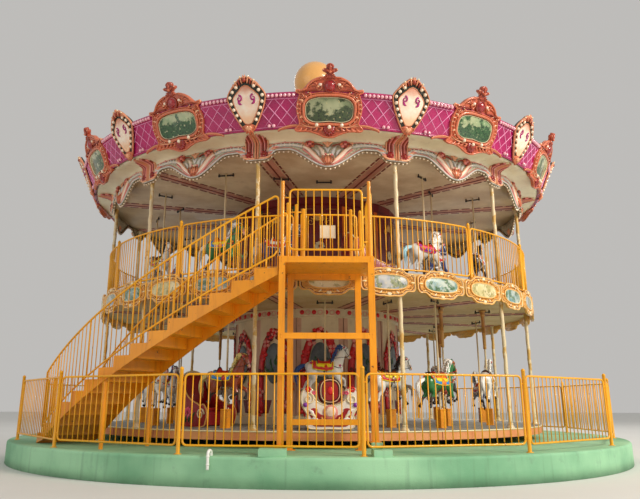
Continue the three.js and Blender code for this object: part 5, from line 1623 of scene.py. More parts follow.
FORE_LEGS = (
    [(0.21, -0.02, 0.05, 0.10), (0.25, -0.115, 0.045, 0.065), (0.315, -0.16, 0.033, 0.042),
     (0.375, -0.185, 0.03, 0.033), (0.39, -0.245, 0.02, 0.023), (0.385, -0.295, 0.025, 0.025),
     (0.372, -0.325, 0.028, 0.028)],
    [(0.2, -0.02, 0.05, 0.10), (0.225, -0.13, 0.045, 0.062), (0.26, -0.205, 0.033, 0.04),
     (0.285, -0.25, 0.03, 0.032), (0.235, -0.285, 0.02, 0.023), (0.19, -0.30, 0.025, 0.025),
     (0.165, -0.322, 0.028, 0.028)])
LEG_SPREAD = 0.078
MUSCLES = (((-0.285, 0.075, 0.01), (0.10, 0.062, 0.12)), ((0.20, 0.078, 0.0), (0.085, 0.052, 0.12)),
           ((0.30, 0.045, 0.035), (0.05, 0.045, 0.06)), ((0.372, 0.034, 0.365), (0.042, 0.024, 0.05)),
           ((0.482, 0.02, 0.226), (0.02, 0.016, 0.018)), ((0.408, 0.04, 0.372), (0.02, 0.014, 0.016)))


def limb(stations, lean=0.0, sides=12):
    """A loft through stations of x, z, half width across and half depth"""
    line = through(stations, 4)
    path = np.stack([line[:, 0], np.full(len(line), lean), line[:, 1]], -1)
    return tube(path, np.stack([line[:, 2], line[:, 3]], -1), sides)


def legs(lead, side):
    """Hind and fore leg of one side"""
    pose = lead if side > 0 else 1 - lead
    return HIND_LEGS[pose], FORE_LEGS[pose]


def horse_coat(lead):
    """The whole animal as one skin: its parts are joined in a voxel grid, smoothed and thinned"""
    raw = Shape()
    for stations, sides in ((TRUNK, 18), (NECK, 14), (HEAD, 14)):
        raw.add(limb(stations, 0, sides), "coat_white")
    for side in (-1, 1):
        for stations in legs(lead, side):
            raw.add(limb(stations, side * LEG_SPREAD, 10), "coat_white")
        for (x, y, z), radii in MUSCLES:
            raw.add(ball((x, side * y, z), radii, 12, 8), "coat_white")
        ear = through([(0.335, 0.445, 0.016, 0.018), (0.333, 0.47, 0.016, 0.017),
                       (0.337, 0.505, 0.004, 0.005)], 3)
        path = np.stack([ear[:, 0], side * (0.028 + 0.3 * (ear[:, 1] - 0.445)), ear[:, 1]], -1)
        raw.add(tube(path, ear[:, 2:], 7), "coat_white")
    skin = raw.build("skin", "carousel", "horse_paint")
    for kind, settings in (("REMESH", {"mode": "VOXEL", "voxel_size": 0.0105}),
                           ("SMOOTH", {"factor": 0.6, "iterations": 3}), ("DECIMATE", {"ratio": COAT_RATIO})):
        modifier = skin.modifiers.new(kind, kind)
        for key, value in settings.items():
            setattr(modifier, key, value)
    made = skin.evaluated_get(bpy.context.evaluated_depsgraph_get()).to_mesh()
    points = np.empty(len(made.vertices) * 3)
    made.vertices.foreach_get("co", points)
    made.calc_loop_triangles()
    faces = np.empty(len(made.loop_triangles) * 3, int)
    made.loop_triangles.foreach_get("vertices", faces)
    mesh = skin.data
    bpy.data.objects.remove(skin)
    bpy.data.meshes.remove(mesh)
    return points.reshape(-1, 3), faces.reshape(-1, 3)


def barrel(x, angle, out):
    """A point on the trunk's surface, angle from straight up, out from its skin"""
    stations = np.array(TRUNK)
    middle = np.interp(x, stations[:, 0], stations[:, 1])
    across = np.interp(x, stations[:, 0], stations[:, 2]) + out
    rise = np.interp(x, stations[:, 0], stations[:, 3]) + out
    return np.stack([x + 0 * angle, across * np.sin(angle), middle + rise * np.cos(angle)], -1)


def scalloped(start, end, scallops, columns):
    """Places along a cloth, and how much further down its hem reaches at each"""
    swell = np.abs(np.sin(np.linspace(0, scallops * math.pi, columns)))
    return np.linspace(start, end, columns), 1 + 0.06 * swell


def cloth(start, end, reach, out, scallops, thick=0.008, columns=11, rows=15):
    """A cloth over the back from start to end, down to the angle reach, with a scalloped hem"""
    x, wave = scalloped(start, end, scallops, columns)
    sweep = np.linspace(-1, 1, rows)[:, None] * math.radians(reach) * wave[None]
    front = barrel(np.repeat(x[None], rows, 0).ravel(), sweep.ravel(), out + thick)
    back = barrel(np.repeat(x[None], rows, 0).ravel(), sweep.ravel(), out - 0.012)
    return shell(front, back, rows, columns)


def rim_of(start, end, reach, out, scallops):
    """Both hems of a cloth as lines of points"""
    x, wave = scalloped(start, end, scallops, 12)
    return [barrel(x, side * math.radians(reach) * wave, out) for side in (-1, 1)]


def saddle(shape, look, trim):
    """Seat with a raised pommel and cantle, and flaps with stirrups"""
    columns, rows = 9, 9
    x = np.linspace(-0.16, 0.10, columns)
    t = np.linspace(0, 1, columns)
    rise = 0.028 + 0.05 * np.clip(1 - t / 0.22, 0, 1) ** 1.5 + 0.045 * np.clip((t - 0.8) / 0.2, 0, 1) ** 1.5
    sweep = np.linspace(-1, 1, rows)[:, None] * math.radians(58)
    bend = np.cos(np.linspace(-1, 1, rows) * math.pi / 2)[:, None] ** 0.6
    along, over = np.repeat(x[None], rows, 0).ravel(), np.repeat(sweep, columns, 1).ravel()
    front = barrel(along, over, 0.012)
    front[:, 2] += (rise[None] * bend).ravel()
    shape.add(shell(front, barrel(along, over, -0.01), rows, columns), look)
    for end in (0, -1):
        shape.add(tube(front.reshape(rows, columns, 3)[:, end], 0.009, 5), trim)
    for side in (-1, 1):
        flap = [barrel(0.01, side * math.radians(a), 0.018) for a in (50, 68, 86, 100)]
        sizes = np.array([(0.05, 0.008), (0.055, 0.008), (0.05, 0.008), (0.02, 0.006)])
        shape.add(tube(np.array(flap), sizes, 8), look)
        foot = barrel(0.02, side * math.radians(110), 0.03)
        shape.add(tube([flap[3], foot, foot - (0, 0, 0.06)], 0.006, 5), trim)
        turn = np.arange(8) * TAU / 8
        ring = foot - (0, 0, 0.095) + np.stack([0.03 * np.cos(turn), 0 * turn, 0.035 * np.sin(turn)], -1)
        shape.add(tube(ring, 0.006, 5, True), trim)


def girth(shape, x, look):
    """A flat strap round the trunk at x"""
    steps = 12
    angles = np.radians(np.linspace(0, 360, steps + 1))[:-1]
    path = np.array([barrel(x, a, 0.006) for a in angles])
    shape.add(tube(path, np.repeat([[0.011, 0.006]], steps, 0), 6, True), look)


def rose(shape, centre, size, looks, outward):
    """A bloom of round petals facing outward"""
    outward = np.asarray(outward, float) / np.linalg.norm(outward)
    along = np.cross(outward, (0, 0, 1.0)) if abs(outward[2]) < 0.9 else np.array([1.0, 0, 0])
    along /= np.linalg.norm(along)
    over = np.cross(outward, along)
    centre = np.asarray(centre, float)
    for k in range(4):
        turn = k * TAU / 4
        place = centre + size * 0.58 * (math.cos(turn) * along + math.sin(turn) * over)
        shape.add(ball(place, (size * 0.55,) * 3, 5, 3), looks[0])
    shape.add(ball(centre + outward * size * 0.45, (size * 0.45,) * 3, 5, 3), looks[1])


def lock(root, tip, sag, wave, thick, seed, rings=7):
    """A lock of hair from root to tip"""
    rng = np.random.default_rng(seed)
    root, tip = np.asarray(root, float), np.asarray(tip, float)
    t = np.linspace(0, 1, rings)[:, None]
    path = root + (tip - root) * t + np.asarray(sag) * np.sin(t * math.pi)
    path += wave * np.sin(t * rng.uniform(6, 9) + rng.uniform(0, 6)) * np.array([0.6, 1.0, 0.3]) * t
    return tube(path, thick * (1 - 0.88 * t[:, 0] ** 1.6) * (0.72 + 0.5 * np.sin(t[:, 0] * math.pi)), 4)


def mane_and_tail(shape, look, tail, hand):
    """Locks down the crest, a forelock and a flowing tail"""
    crest = through([(0.352, 0.462), (0.312, 0.478), (0.262, 0.425), (0.218, 0.335), (0.182, 0.25),
                     (0.14, 0.18)], 2)
    for k, (x, z) in enumerate(crest):
        for side in (-1, 1):
            length = 0.10 + 0.03 * math.sin(k * 1.7)
            spread = 0.062 if side == hand else 0.045
            reach = length if side == hand else length * 0.55
            tip = (x - 0.04 - 0.015 * math.sin(k * 2.1), side * (spread + 0.01 * math.sin(k * 2.9)),
                   z - reach)
            shape.add(lock((x, 0, z - 0.02), tip, (-0.018, side * 0.026, 0.035), 0.008, 0.027,
                           k * 2 + (side > 0), 5), look)
    for k in range(3):
        tip = (0.415 + 0.01 * k, (k - 1) * 0.025, 0.385)
        shape.add(lock((0.34, 0, 0.462), tip, (0.02, 0, 0.03), 0.004, 0.014, 70 + k, 5), look)
    for k in range(7):
        turn = k * TAU / 7
        tip = (-0.545 + 0.045 * math.cos(turn), 0.035 * math.sin(turn), -0.26 + 0.08 * math.sin(k * 2.3))
        root = (-0.385, 0.012 * math.sin(turn), 0.085 + 0.012 * math.cos(turn))
        shape.add(lock(root, tip, (-0.10, 0, 0.07), 0.012, 0.032, 90 + k, 8), tail)


def bridle(shape, look, gem):
    """Head straps, bit and reins back to the pole, and the eyes and nostrils"""
    turn = np.linspace(0, TAU, 12, endpoint=False)
    tilt = math.radians(-48)
    for x, z, across, rise in ((0.462, 0.268, 0.036, 0.044), (0.352, 0.415, 0.056, 0.07),
                               (0.395, 0.378, 0.057, 0.074)):
        ring = np.stack([x + rise * np.cos(turn) * math.cos(tilt + math.pi / 2), across * np.sin(turn),
                         z + rise * np.cos(turn) * math.sin(tilt + math.pi / 2)], -1)
        shape.add(tube(ring, 0.0055, 4, True), look)
    for side in (-1, 1):
        hand = (1, side, 1)
        cheek = np.array([(0.365, 0.054, 0.40), (0.41, 0.052, 0.335), (0.455, 0.038, 0.275),
                          (0.468, 0.036, 0.25)])
        shape.add(tube(through(cheek * hand, 2), 0.005, 4), look)
        rein = np.array([(0.468, 0.037, 0.248), (0.36, 0.085, 0.235), (0.22, 0.10, 0.22),
                         (0.09, 0.05, 0.2), (0.04, 0.02, 0.215)])
        shape.add(tube(through(rein * hand, 3), 0.0045, 4), look)
        for (x, y, z), radii, sides, part in (((0.47, 0.04, 0.25), (0.011, 0.008, 0.011), 6, gem),
                                              ((0.405, 0.0545, 0.366), (0.011, 0.007, 0.010), 6, "eye"),
                                              ((0.402, 0.053, 0.367), (0.016, 0.006, 0.013), 6, "eye_white"),
                                              ((0.49, 0.024, 0.224), (0.006, 0.005, 0.008), 5, "nostril")):
            shape.add(ball((x, side * y, z), radii, sides, 3), part)


def hoof(shape, stations, side):
    """A short flared form along the end of a leg"""
    before, ankle = (np.array(station[:2]) for station in stations[-2:])
    down = ankle - before
    down /= np.linalg.norm(down)
    end, start = ankle + down * 0.03, ankle - down * 0.008
    y = side * LEG_SPREAD
    shape.add(tube([(start[0], y, start[1]), (end[0], y, end[1])], [0.031, 0.037], 9), "hoof")


# Looks of coat, mane, cloth, hem, saddle, straps, the two of each bloom, and socks
HORSE_LOOKS = {
    "green": ("coat_green", "mane_white", "cloth_blue", "hem_yellow", "saddle_orange", "strap_red",
              ("flower_red", "hem_yellow"), "coat_dark"),
    "white_blue": ("coat_white", "mane_blue", "cloth_red", "hem_yellow", "saddle_red", "strap_black",
                   ("flower_red", "cloth_purple"), "coat_white"),
    "white_pink": ("coat_white", "mane_white", "cloth_purple", "flower_pink", "saddle_red", "strap_black",
                   ("flower_pink", "flower_red"), "coat_white"),
    "white_black": ("coat_white", "mane_black", "cloth_red", "hem_yellow", "saddle_brown", "strap_black",
                    ("flower_pink", "hem_yellow"), "coat_white"),
    "dark": ("coat_dark", "mane_black", "cloth_blue", "hem_white", "saddle_red", "strap_white",
             ("flower_red", "hem_white"), "coat_dark"),
    "yellow": ("coat_white", "mane_white", "cloth_yellow", "hem_white", "saddle_brown", "strap_black",
               ("flower_red", "hem_yellow"), "coat_white"),
    "brown": ("coat_brown", "mane_cream", "cloth_blue", "hem_yellow", "saddle_red", "strap_black",
              ("flower_pink", "hem_yellow"), "coat_dark"),
    "blue": ("coat_blue", "mane_white", "cloth_yellow", "hem_white", "saddle_orange", "strap_red",
             ("flower_red", "hem_yellow"), "coat_white"),
    "navy": ("coat_navy", "mane_white", "cloth_red", "hem_white", "saddle_red", "strap_white",
             ("flower_pink", "hem_white"), "coat_dark"),
}
# Tails unlike the mane
TAILS = {"white_pink": "mane_pale_blue"}


def horse(scheme, lead, coats):
    """One horse in its own colours, without its pole"""
    coat, mane, cover, hem, seat, straps, blooms, socks = HORSE_LOOKS[scheme]
    shape = Shape()
    points, faces = coats[lead]
    middle = points[faces].mean(1)
    sock = middle[:, 2] < -0.235
    muzzle = (middle[:, 0] > 0.472) & (middle[:, 2] > 0)
    shape.add((points, [faces[~sock & ~muzzle]]), coat)
    shape.faces.append((faces[sock], socks, True))
    shape.faces.append((faces[muzzle], "muzzle", True))
    mane_and_tail(shape, mane, TAILS.get(scheme, mane), 1 if lead else -1)
    shape.add(cloth(-0.26, 0.15, 92, 0.008, 5), cover)
    for line in rim_of(-0.26, 0.15, 92, 0.013, 5):
        shape.add(tube(line, 0.011, 4), hem)
    for x in (-0.26, 0.15):
        path = barrel(np.full(10, x), np.radians(np.linspace(-92, 92, 10)), 0.014)
        shape.add(tube(path, 0.010, 4), hem)
    shape.add(cloth(-0.19, 0.12, 70, 0.018, 3, 0.006, 7, 9), hem)
    if scheme == "white_pink":
        petal_looks = ("flower_pink", "flower_red", "flower_purple", "flower_blue")
        for side in (-1, 1):
            for k in range(6):
                rose(shape, barrel(-0.24 + 0.075 * k, side * math.radians(78), 0.02), 0.034,
                     (petal_looks[k % 4], "hem_yellow"), (0, side, 0.2))
    saddle(shape, seat, straps)
    girth(shape, -0.03, straps)
    flank = [(0.15, 0.125, 0.06), (0.25, 0.118, 0.03), (0.325, 0.06, 0.035)]
    breast = through([*flank, (0.343, 0.0, 0.03), *[(x, -y, z) for x, y, z in flank[::-1]]], 2)
    shape.add(tube(breast, np.repeat([[0.014, 0.008]], len(breast), 0), 6), straps)
    for side in (-1, 1):
        crupper = through([(-0.25, side * 0.10, 0.11), (-0.33, side * 0.085, 0.085),
                           (-0.39, side * 0.03, 0.07)], 4)
        shape.add(tube(crupper, 0.009, 4), straps)
        rose(shape, barrel(-0.285, side * math.radians(52), 0.02), 0.03, blooms, (0, side, 0.7))
        rose(shape, (0.285, side * 0.105, 0.075), 0.026, blooms, (0.5, side, 0))
        rose(shape, (0.372, side * 0.058, 0.425), 0.019, blooms, (0, side, 0.2))
        for stations in legs(lead, side):
            hoof(shape, stations, side)
    for k in range(5):
        turn = (k - 2) * 0.42
        place = (0.345 - 0.036 * abs(turn), 0.085 * math.sin(turn), 0.015 + 0.012 * abs(turn))
        shape.add(ball(place, (0.018,) * 3, 5, 3), blooms[k % 2])
    bridle(shape, straps, hem)
    return shape


def pole(foot, head):
    """A plain round pole"""
    z = np.linspace(foot, head, 9)
    return tube(np.stack([0 * z, 0 * z, z], -1), POLE_RADIUS, 12)


def make_horse_paints():
    """Paint of the horses, their trappings, and the seats"""
    # The edges amounts below set painted shade in creases and painted highlights on ridges
    coats = {"coat_white": (238, 234, 224), "coat_green": (34, 112, 52), "coat_blue": (120, 150, 190),
             "coat_brown": (150, 62, 30), "coat_dark": (52, 34, 28), "coat_navy": (30, 52, 110)}
    for name, colour in coats.items():
        paint(name, rgb(*colour), 0.34, 0.14, 4.0, 0.22, rgb(120, 100, 76), 0.08, edges=0.4, coat=0.6,
              bump=0.08)
    paint("muzzle", rgb(206, 150, 140), 0.4, 0.15, 6.0, 0.1, edges=0.3)
    paint("mane_white", rgb(244, 236, 224), 0.45, 0.12, 9.0, 0.25, rgb(190, 170, 150), edges=0.6)
    paint("mane_cream", rgb(226, 196, 130), 0.45, 0.2, 9.0, 0.25, rgb(160, 120, 60), edges=0.6)
    paint("mane_pale_blue", rgb(150, 196, 226), 0.45, 0.15, 9.0, 0.2, rgb(100, 140, 180), edges=0.6)
    paint("mane_blue", rgb(26, 62, 120), 0.4, 0.25, 9.0, 0.15, rgb(14, 30, 66), edges=0.6)
    paint("mane_black", rgb(34, 32, 34), 0.4, 0.25, 9.0, 0.2, rgb(70, 66, 62), edges=0.4)
    for name, colour in (("cloth_blue", (46, 128, 200)), ("cloth_red", (196, 34, 40)),
                         ("cloth_purple", (130, 60, 160)), ("cloth_yellow", (232, 190, 52)),
                         ("hem_yellow", (244, 206, 58)), ("hem_white", (242, 240, 232)),
                         ("saddle_red", (190, 40, 34)), ("saddle_orange", (236, 110, 40)),
                         ("saddle_brown", (122, 66, 34)), ("strap_red", (190, 30, 40)),
                         ("strap_black", (36, 32, 32)), ("strap_white", (232, 230, 222))):
        paint(name, rgb(*colour), 0.38, 0.18, 6.0, 0.15, shade(rgb(*colour), 0.35), edges=0.4, coat=0.4,
              bump=0.1)
    paint("hoof", rgb(46, 40, 36), 0.4, 0.3, 12.0, 0.25)
    paint("eye", rgb(18, 14, 14), 0.1, 0.1, 20.0, 0.02, coat=1.0, bump=0.01)
    paint("eye_white", rgb(244, 240, 236), 0.2, 0.05, 20.0, 0.02, coat=0.8, bump=0.01)
    paint("nostril", rgb(70, 30, 30), 0.6, 0.1, 20.0, 0.05)
    paint("seat_red", rgb(150, 26, 30), 0.4, 0.25, 3.0, 0.2, rgb(80, 12, 14), edges=0.4)
    paint("seat_blue", rgb(150, 202, 220), 0.38, 0.14, 3.0, 0.15, rgb(100, 140, 160), edges=0.4)
    paint("seat_white", rgb(244, 236, 222), 0.38, 0.12, 3.0, 0.2, rgb(190, 160, 130), edges=0.4)


DECK_MIDDLE = (DECK_BOTTOM + DECK_TOP) / 2
# Riders of each deck:
# middle, floor: height of a horse's barrel at rest, and of the floor under fixed poles and seats
# foot, head, roof: ends of the poles that slide, and top of the fixed poles
# first, inner: angle of place 0 in the outer and in the inner circle
# seats, bare: inner places with a bench, and empty ones
# gap, turned: the outer place left free at the landing, and angles of inner places out of step
# outer_looks, inner_looks: the horse at each place
DECKS = {
    "lower": {"middle": 1.5, "floor": PLATFORM_TOP, "foot": 0.552, "head": DECK_MIDDLE,
              "roof": DECK_BOTTOM + 0.02, "first": 33.0, "inner": 48.0, "seats": (5, 9), "bare": (1, 4, 10),
              "gap": 11, "turned": {11: 22.0},
              "outer_looks": ("green", "yellow", "navy", "white_black", "white_blue", "brown", "yellow",
                              "dark", "blue", "yellow", "brown", "green"),
              "inner_looks": ("dark", "white_black", "blue", "green", "white_blue", "brown", "yellow",
                              "navy", "white_blue", "brown", "blue", "white_black")},
    "upper": {"middle": 4.08, "floor": DECK_TOP, "foot": DECK_MIDDLE, "head": CEILING + 0.19,
              "roof": CEILING + 0.05, "first": 30.5, "inner": 45.5, "seats": (3, 7, 11), "bare": (1, 4, 5, 9),
              "gap": 11, "turned": {},
              "outer_looks": ("white_pink", "dark", "blue", "green", "white_black", "navy", "yellow",
                              "brown", "white_blue", "white_black", "green", "yellow"),
              "inner_looks": ("navy", "white_black", "brown", "yellow", "white_blue", "green", "dark",
                              "white_blue", "blue", "brown", "navy", "green")},
}
MOVING_EVERY = 3
INNER_CIRCLE = 3.5
LIFTS = (0.0, 0.1, -0.08, 0.06, -0.1, 0.12, 0.02, -0.05, 0.09, -0.02, 0.07, 0.12)
FRONT_HORSE = {"circle": 3.2, "angle": 0.7, "height": 1.78, "look": "white_blue"}
POLE_SINK = 0.02
BLUE_BENCH = ("upper", 2)
CHARIOT_SIZE = 0.85
CHARIOT_CIRCLE = 4.2
CHARIOT_TURN = 1.7
CHARIOT_SIDE = 0.34
CHARIOT_WALL = 0.335
BENCH_SIDE = 0.36
BENCH_WALL = 0.345


def rider_places(deck):
    """Circle, number and angle of each rider on a pole"""
    facts = DECKS[deck]
    for k in range(BAYS):
        if k != facts["gap"]:
            yield OUTER_HORSES, k, facts["first"] + k * BAY
    for k in range(BAYS):
        if k not in facts["seats"] and k not in facts["bare"]:
            yield INNER_CIRCLE, k, facts["turned"].get(k, facts["inner"] + k * BAY)


def riders():
    """Horses on poles at both decks, a third of the outer ones on bodies of their own, and the seats"""
    coats = [horse_coat(0), horse_coat(1)]
    made = {}

    def rider(name, body, scheme, lead, centre, angle, height, foot, head, replaced=()):
        """A horse with its pole. Each kind of horse is made once."""
        if (scheme, lead) not in made:
            made[scheme, lead] = horse(scheme, lead, coats)
        shape = Shape().take(made[scheme, lead], moved(centre + (0, 0, height), angle))
        shape.take(Shape().add(pole(foot, head), "pole_cream"), moved(centre, angle))
        shape.build(name, body, "horse_paint", replaced)

    for deck, facts in DECKS.items():
        for circle, k, turn in rider_places(deck):
            angle = turn + ROTOR_TURN
            centre = spot(circle, angle)
            if circle == OUTER_HORSES and k % MOVING_EVERY == 0:
                name = f"{deck}_horse_{k // MOVING_EVERY + 1}"
                rider(f"{name}_figure", name, facts["outer_looks"][k], k % 2, centre, angle, facts["middle"],
                      facts["foot"], facts["head"] - 0.004, [name])
                continue
            inner = circle == INNER_CIRCLE
            row = "inner" if inner else "outer"
            lift = LIFTS[(k * 5 + 3) % BAYS] if inner else LIFTS[k]
            rider(f"{deck}_{row}_rider_{k + 1}", "carousel", facts[f"{row}_looks"][k], (k + inner) % 2,
                  centre, angle, facts["middle"] + lift, facts["floor"] - POLE_SINK, facts["roof"])
        for number, k in enumerate(facts["seats"], 1):
            angle = facts["inner"] + k * BAY + ROTOR_TURN
            place = moved(spot(INNER_CIRCLE, angle, facts["floor"]), angle)
            seat = bench("seat_blue" if (deck, number) == BLUE_BENCH else "seat_red")
            Shape().take(seat, place).build(f"{deck}_bench_{number}", "carousel", "horse_paint")
    angle, facts = FRONT_HORSE["angle"] + ROTOR_TURN, DECKS["lower"]
    rider("lower_front_rider", "carousel", FRONT_HORSE["look"], 0, spot(FRONT_HORSE["circle"], angle), angle,
          FRONT_HORSE["height"], facts["floor"] - POLE_SINK, facts["roof"])
    place = moved(spot(CHARIOT_CIRCLE, CHARIOT_TURN, PLATFORM_TOP), ROTOR_TURN)
    chariot = Shape().take(carriage(), lambda points: place(points * CHARIOT_SIZE))
    chariot.build("lower_chariot", "carousel", "horse_paint")


def beside(side, out):
    """Stands a flat form upright along x, out from the middle on one side"""
    def place(points):
        return np.stack([points[:, 0], side * (out + points[:, 2]), points[:, 1]], -1)
    return place


def carriage():
    """A chariot with like sides, scrolled ends and high crests. Its two seats face each other."""
    form, one = Shape(), Shape()
    outline = mirrored(through([(0, 0.03), (0.42, 0.03), (0.50, 0.14), (0.47, 0.30), (0.54, 0.42),
                                (0.60, 0.58), (0.58, 0.76), (0.48, 0.84), (0.37, 0.80), (0.36, 0.68),
                                (0.26, 0.55), (0.12, 0.49), (0, 0.48)], 2))
    one.add(slab(outline, 0.0, 0.03, 0.008), "seat_white")
    one.add(moulding(outline, half_round(0.034, 0.015, 0.026)), "trim_cream")
    one.add(slab(outline * (0.74, 0.45) + (0, 0.06), 0.025, 0.042, 0.008), "seat_red")
    crest_centre = np.array([0, 0.78])
    crest = pointed_oval(0.23, 0.26, 28, 0.8)
    one.add(slab(crest + crest_centre, -0.006, 0.032, 0.008), "seat_red")
    for scale, look in ((0.97, "border_black"), (0.87, "trim_cream"), (0.77, "border_black")):
        one.add(moulding(crest * scale + crest_centre, half_round(0.022, 0.028, 0.016, 2)), look)
    one.add(ball((0, 0.78, 0.03), (0.07, 0.09, 0.022), 10, 4), "flower_red")
    one.add(ball((0, 0.35, 0.04), (0.16, 0.16, 0.03), 16, 5), "carving_pink")
    one.add(ball((0, 0.36, 0.06), (0.11, 0.11, 0.024), 14, 4), "arm_pale")
    arc = np.radians(np.linspace(200, 340, 12))
    one.add(stroke(np.stack([0.2 * np.cos(arc), 0.33 + 0.2 * np.sin(arc)], -1), 0.036, 0.03, 0.04),
            "fascia_gold")
    for side in (-1, 1):
        one.add(scroll((side * 0.45, 0.62), 0.12, 1.4, 90, 0.042, 0.03, 0.028, side), "trim_cream")
        one.add_all(petals((side * 0.46, 0.81), 0.065, 6, 0.04, 0.03), "flower_red")
        one.add_all(petals((side * 0.34, 0.74), 0.045, 5, 0.03, 0.03), "flower_pink")
        one.add(ball((side * 0.52, 0.5, 0.035), (0.05, 0.05, 0.04), 9, 5), "flower_purple")
        for k in range(4):
            root = (side * (0.2 + 0.05 * k), 0.12 + 0.05 * k)
            tip = (side * (0.36 + 0.04 * k), 0.14 + 0.09 * k)
            one.add(leaf(root, tip, 0.07, 0.03, 0.036, side * 0.2), "seat_white" if k % 2 else "trim_cream")
    for side in (-1, 1):
        form.take(one, beside(side, CHARIOT_SIDE))
    for end in (-1, 1):
        seat = oblong(0.2, -0.33, 0.47, 0.33) * (end, 1)
        form.add(slab(seat[::end], 0.29, 0.36, 0.02), "seat_red")
        low, high = sorted((end * 0.22, end * 0.47))
        form.add(block((low, -CHARIOT_WALL, 0.05), (high, CHARIOT_WALL, 0.3)), "seat_white", False)
        back = racetrack(0.32, 0.22, 20, (0, 0.52), 0, 4.0)
        form.take(Shape().add(slab(back, 0.0, 0.05, 0.02), "seat_red"), lambda points: np.stack(
            [end * (0.5 - points[:, 2]), end * points[:, 0], points[:, 1]], -1))
    form.add(block((-0.47, -CHARIOT_WALL, 0.02), (0.47, CHARIOT_WALL, 0.06)), "seat_white", False)
    return form


def bench(look):
    """A scrolled bench for two: curved sides, a padded seat and an arched back. It faces +x."""
    form = Shape()
    side_line = through([(-0.36, 0.0), (0.30, 0.0), (0.42, 0.10), (0.45, 0.28), (0.36, 0.42), (0.24, 0.40),
                         (0.16, 0.44), (-0.05, 0.52), (-0.2, 0.66), (-0.30, 0.86), (-0.42, 0.92),
                         (-0.47, 0.78), (-0.42, 0.4), (-0.42, 0.1)], 3, True)
    one = Shape().add(slab(side_line, 0.0, 0.035, 0.008), look)
    one.add(moulding(side_line, half_round(0.034, 0.025, 0.02)), "fascia_gold")
    one.add_all(petals((-0.1, 0.26), 0.12, 8, 0.03, 0.03), "flower_pink")
    one.add(scroll((0.28, 0.24), 0.11, 1.5, 0, 0.04, 0.03, 0.03, 1), "trim_cream")
    for k in range(5):
        root, tip = (-0.36 + 0.1 * k, 0.08), (-0.28 + 0.1 * k, 0.2 + 0.02 * k)
        one.add(leaf(root, tip, 0.07, 0.026, 0.03, 0.2), "leaf_green")
    for side in (-1, 1):
        form.take(one, beside(side, BENCH_SIDE))
    arch = through([(-0.36, 0.35), (0.36, 0.35), (0.365, 0.8), (0.25, 1.0), (0.0, 1.08), (-0.25, 1.0),
                    (-0.365, 0.8)], 4, True)

    def lean(points):
        return np.stack([-0.38 - 0.14 * (points[:, 1] - 0.35) + points[:, 2], points[:, 0], points[:, 1]], -1)
    back = Shape().add(slab(arch, -0.02, 0.02, 0.008), look)
    back.add(moulding(arch, half_round(0.05, 0.015, 0.02)), "trim_cream")
    back.add(moulding(arch * (0.9, 0.93) + (0, 0.045), half_round(0.02, 0.018, 0.012)), "border_black")
    back.add(slab(arch * (0.8, 0.7) + (0, 0.24), 0.01, 0.045, 0.02), "seat_red")
    form.take(back, lean)
    form.add(slab(oblong(-0.40, -0.35, 0.12, 0.35), 0.30, 0.36, 0.02), "seat_red")
    form.add(block((-0.40, -BENCH_WALL, 0.02), (0.08, BENCH_WALL, 0.31)), look, False)
    return form


def cranks():
    """Thin crank bars under both ceilings"""
    for deck, ceiling in (("lower", DECK_BOTTOM), ("upper", CEILING)):
        crank = Shape().add(block((-0.16, -0.013, -0.062), (0.16, 0.013, -0.036)), "dark_metal", False)
        for end in (-1, 1):
            pin = [(0, -0.07), (0.022, -0.07), (0.022, -0.03), (0.014, -0.03), (0.014, 0.003), (0, 0.003)]
            crank.add(lathe(pin, 10, (end * 0.15, 0, 0)), "dark_metal")
        shape = Shape()
        for circle, k, turn in rider_places(deck):
            angle = turn + ROTOR_TURN
            shape.take(crank, moved(spot(circle, angle, ceiling), angle + (90 if k % 2 else 20)))
        shape.take(crank, moved(spot(FRONT_HORSE["circle"], FRONT_HORSE["angle"] + ROTOR_TURN, ceiling)))
        shape.build(f"{deck}_cranks", "carousel", "cream_paint")


def sleeves_and_pedestals():
    """Turned sleeves under the soffit and square pedestals on the platform, at the lower poles"""
    stands, sleeves = Shape(), Shape()
    square = oblong(-0.07, -0.07, 0.07, 0.07)
    foot, top = PLATFORM_TOP, 1.035
    section = [(0, foot), (0.004, foot + 0.01), (0, foot + 0.02), (0, top - 0.035), (0.006, top - 0.025),
               (0.006, top - 0.01), (-0.004, top), (-0.045, top), (-0.045, foot)]
    turned = [(0.05, -0.03), (0.085, -0.012), (0.085, -0.03), (0.06, -0.05), (0.048, -0.09), (0.055, -0.12),
              (0.04, -0.15), (0.04, -0.5), (0.047, -0.52), (0.04, -0.54), (0.036, -0.85), (0.03, -0.86),
              (0.03, -0.03)]
    pedestal = Shape().add(moulding(square, section), "pedestal", False)
    pedestal.add(ball((0.055, 0.0, top + 0.01), (0.014, 0.014, 0.014)), "bulb")
    for circle, k, turn in rider_places("lower"):
        angle = turn + ROTOR_TURN
        stands.take(pedestal, moved(spot(circle, angle), angle))
        if k > 9 or circle == OUTER_HORSES and k % 4 != 1:
            continue
        sleeves.add(lathe(turned, 12, spot(circle, angle, DECK_BOTTOM), True), "sleeve_bronze")
    stands.build("pole_pedestals", "carousel", "gold_paint")
    sleeves.build("pole_sleeves", "carousel", "gold_paint")


# Lamps: name, place, size, power and tint
LAMPS = (("key", (18.5, -16.5, 15), 7, 5200, (1.0, 0.93, 0.82)),
         ("fill", (-16, -15, 8), 14, 500, (1.0, 0.94, 0.86)),
         ("rear", (2, 20, 15), 12, 2000, (1.0, 0.96, 0.92)))
LAMP_AIM = Vector((0, 0, 3.5))
FLOOR_REACH = 60.0
FLOOR_LEVEL = -0.002


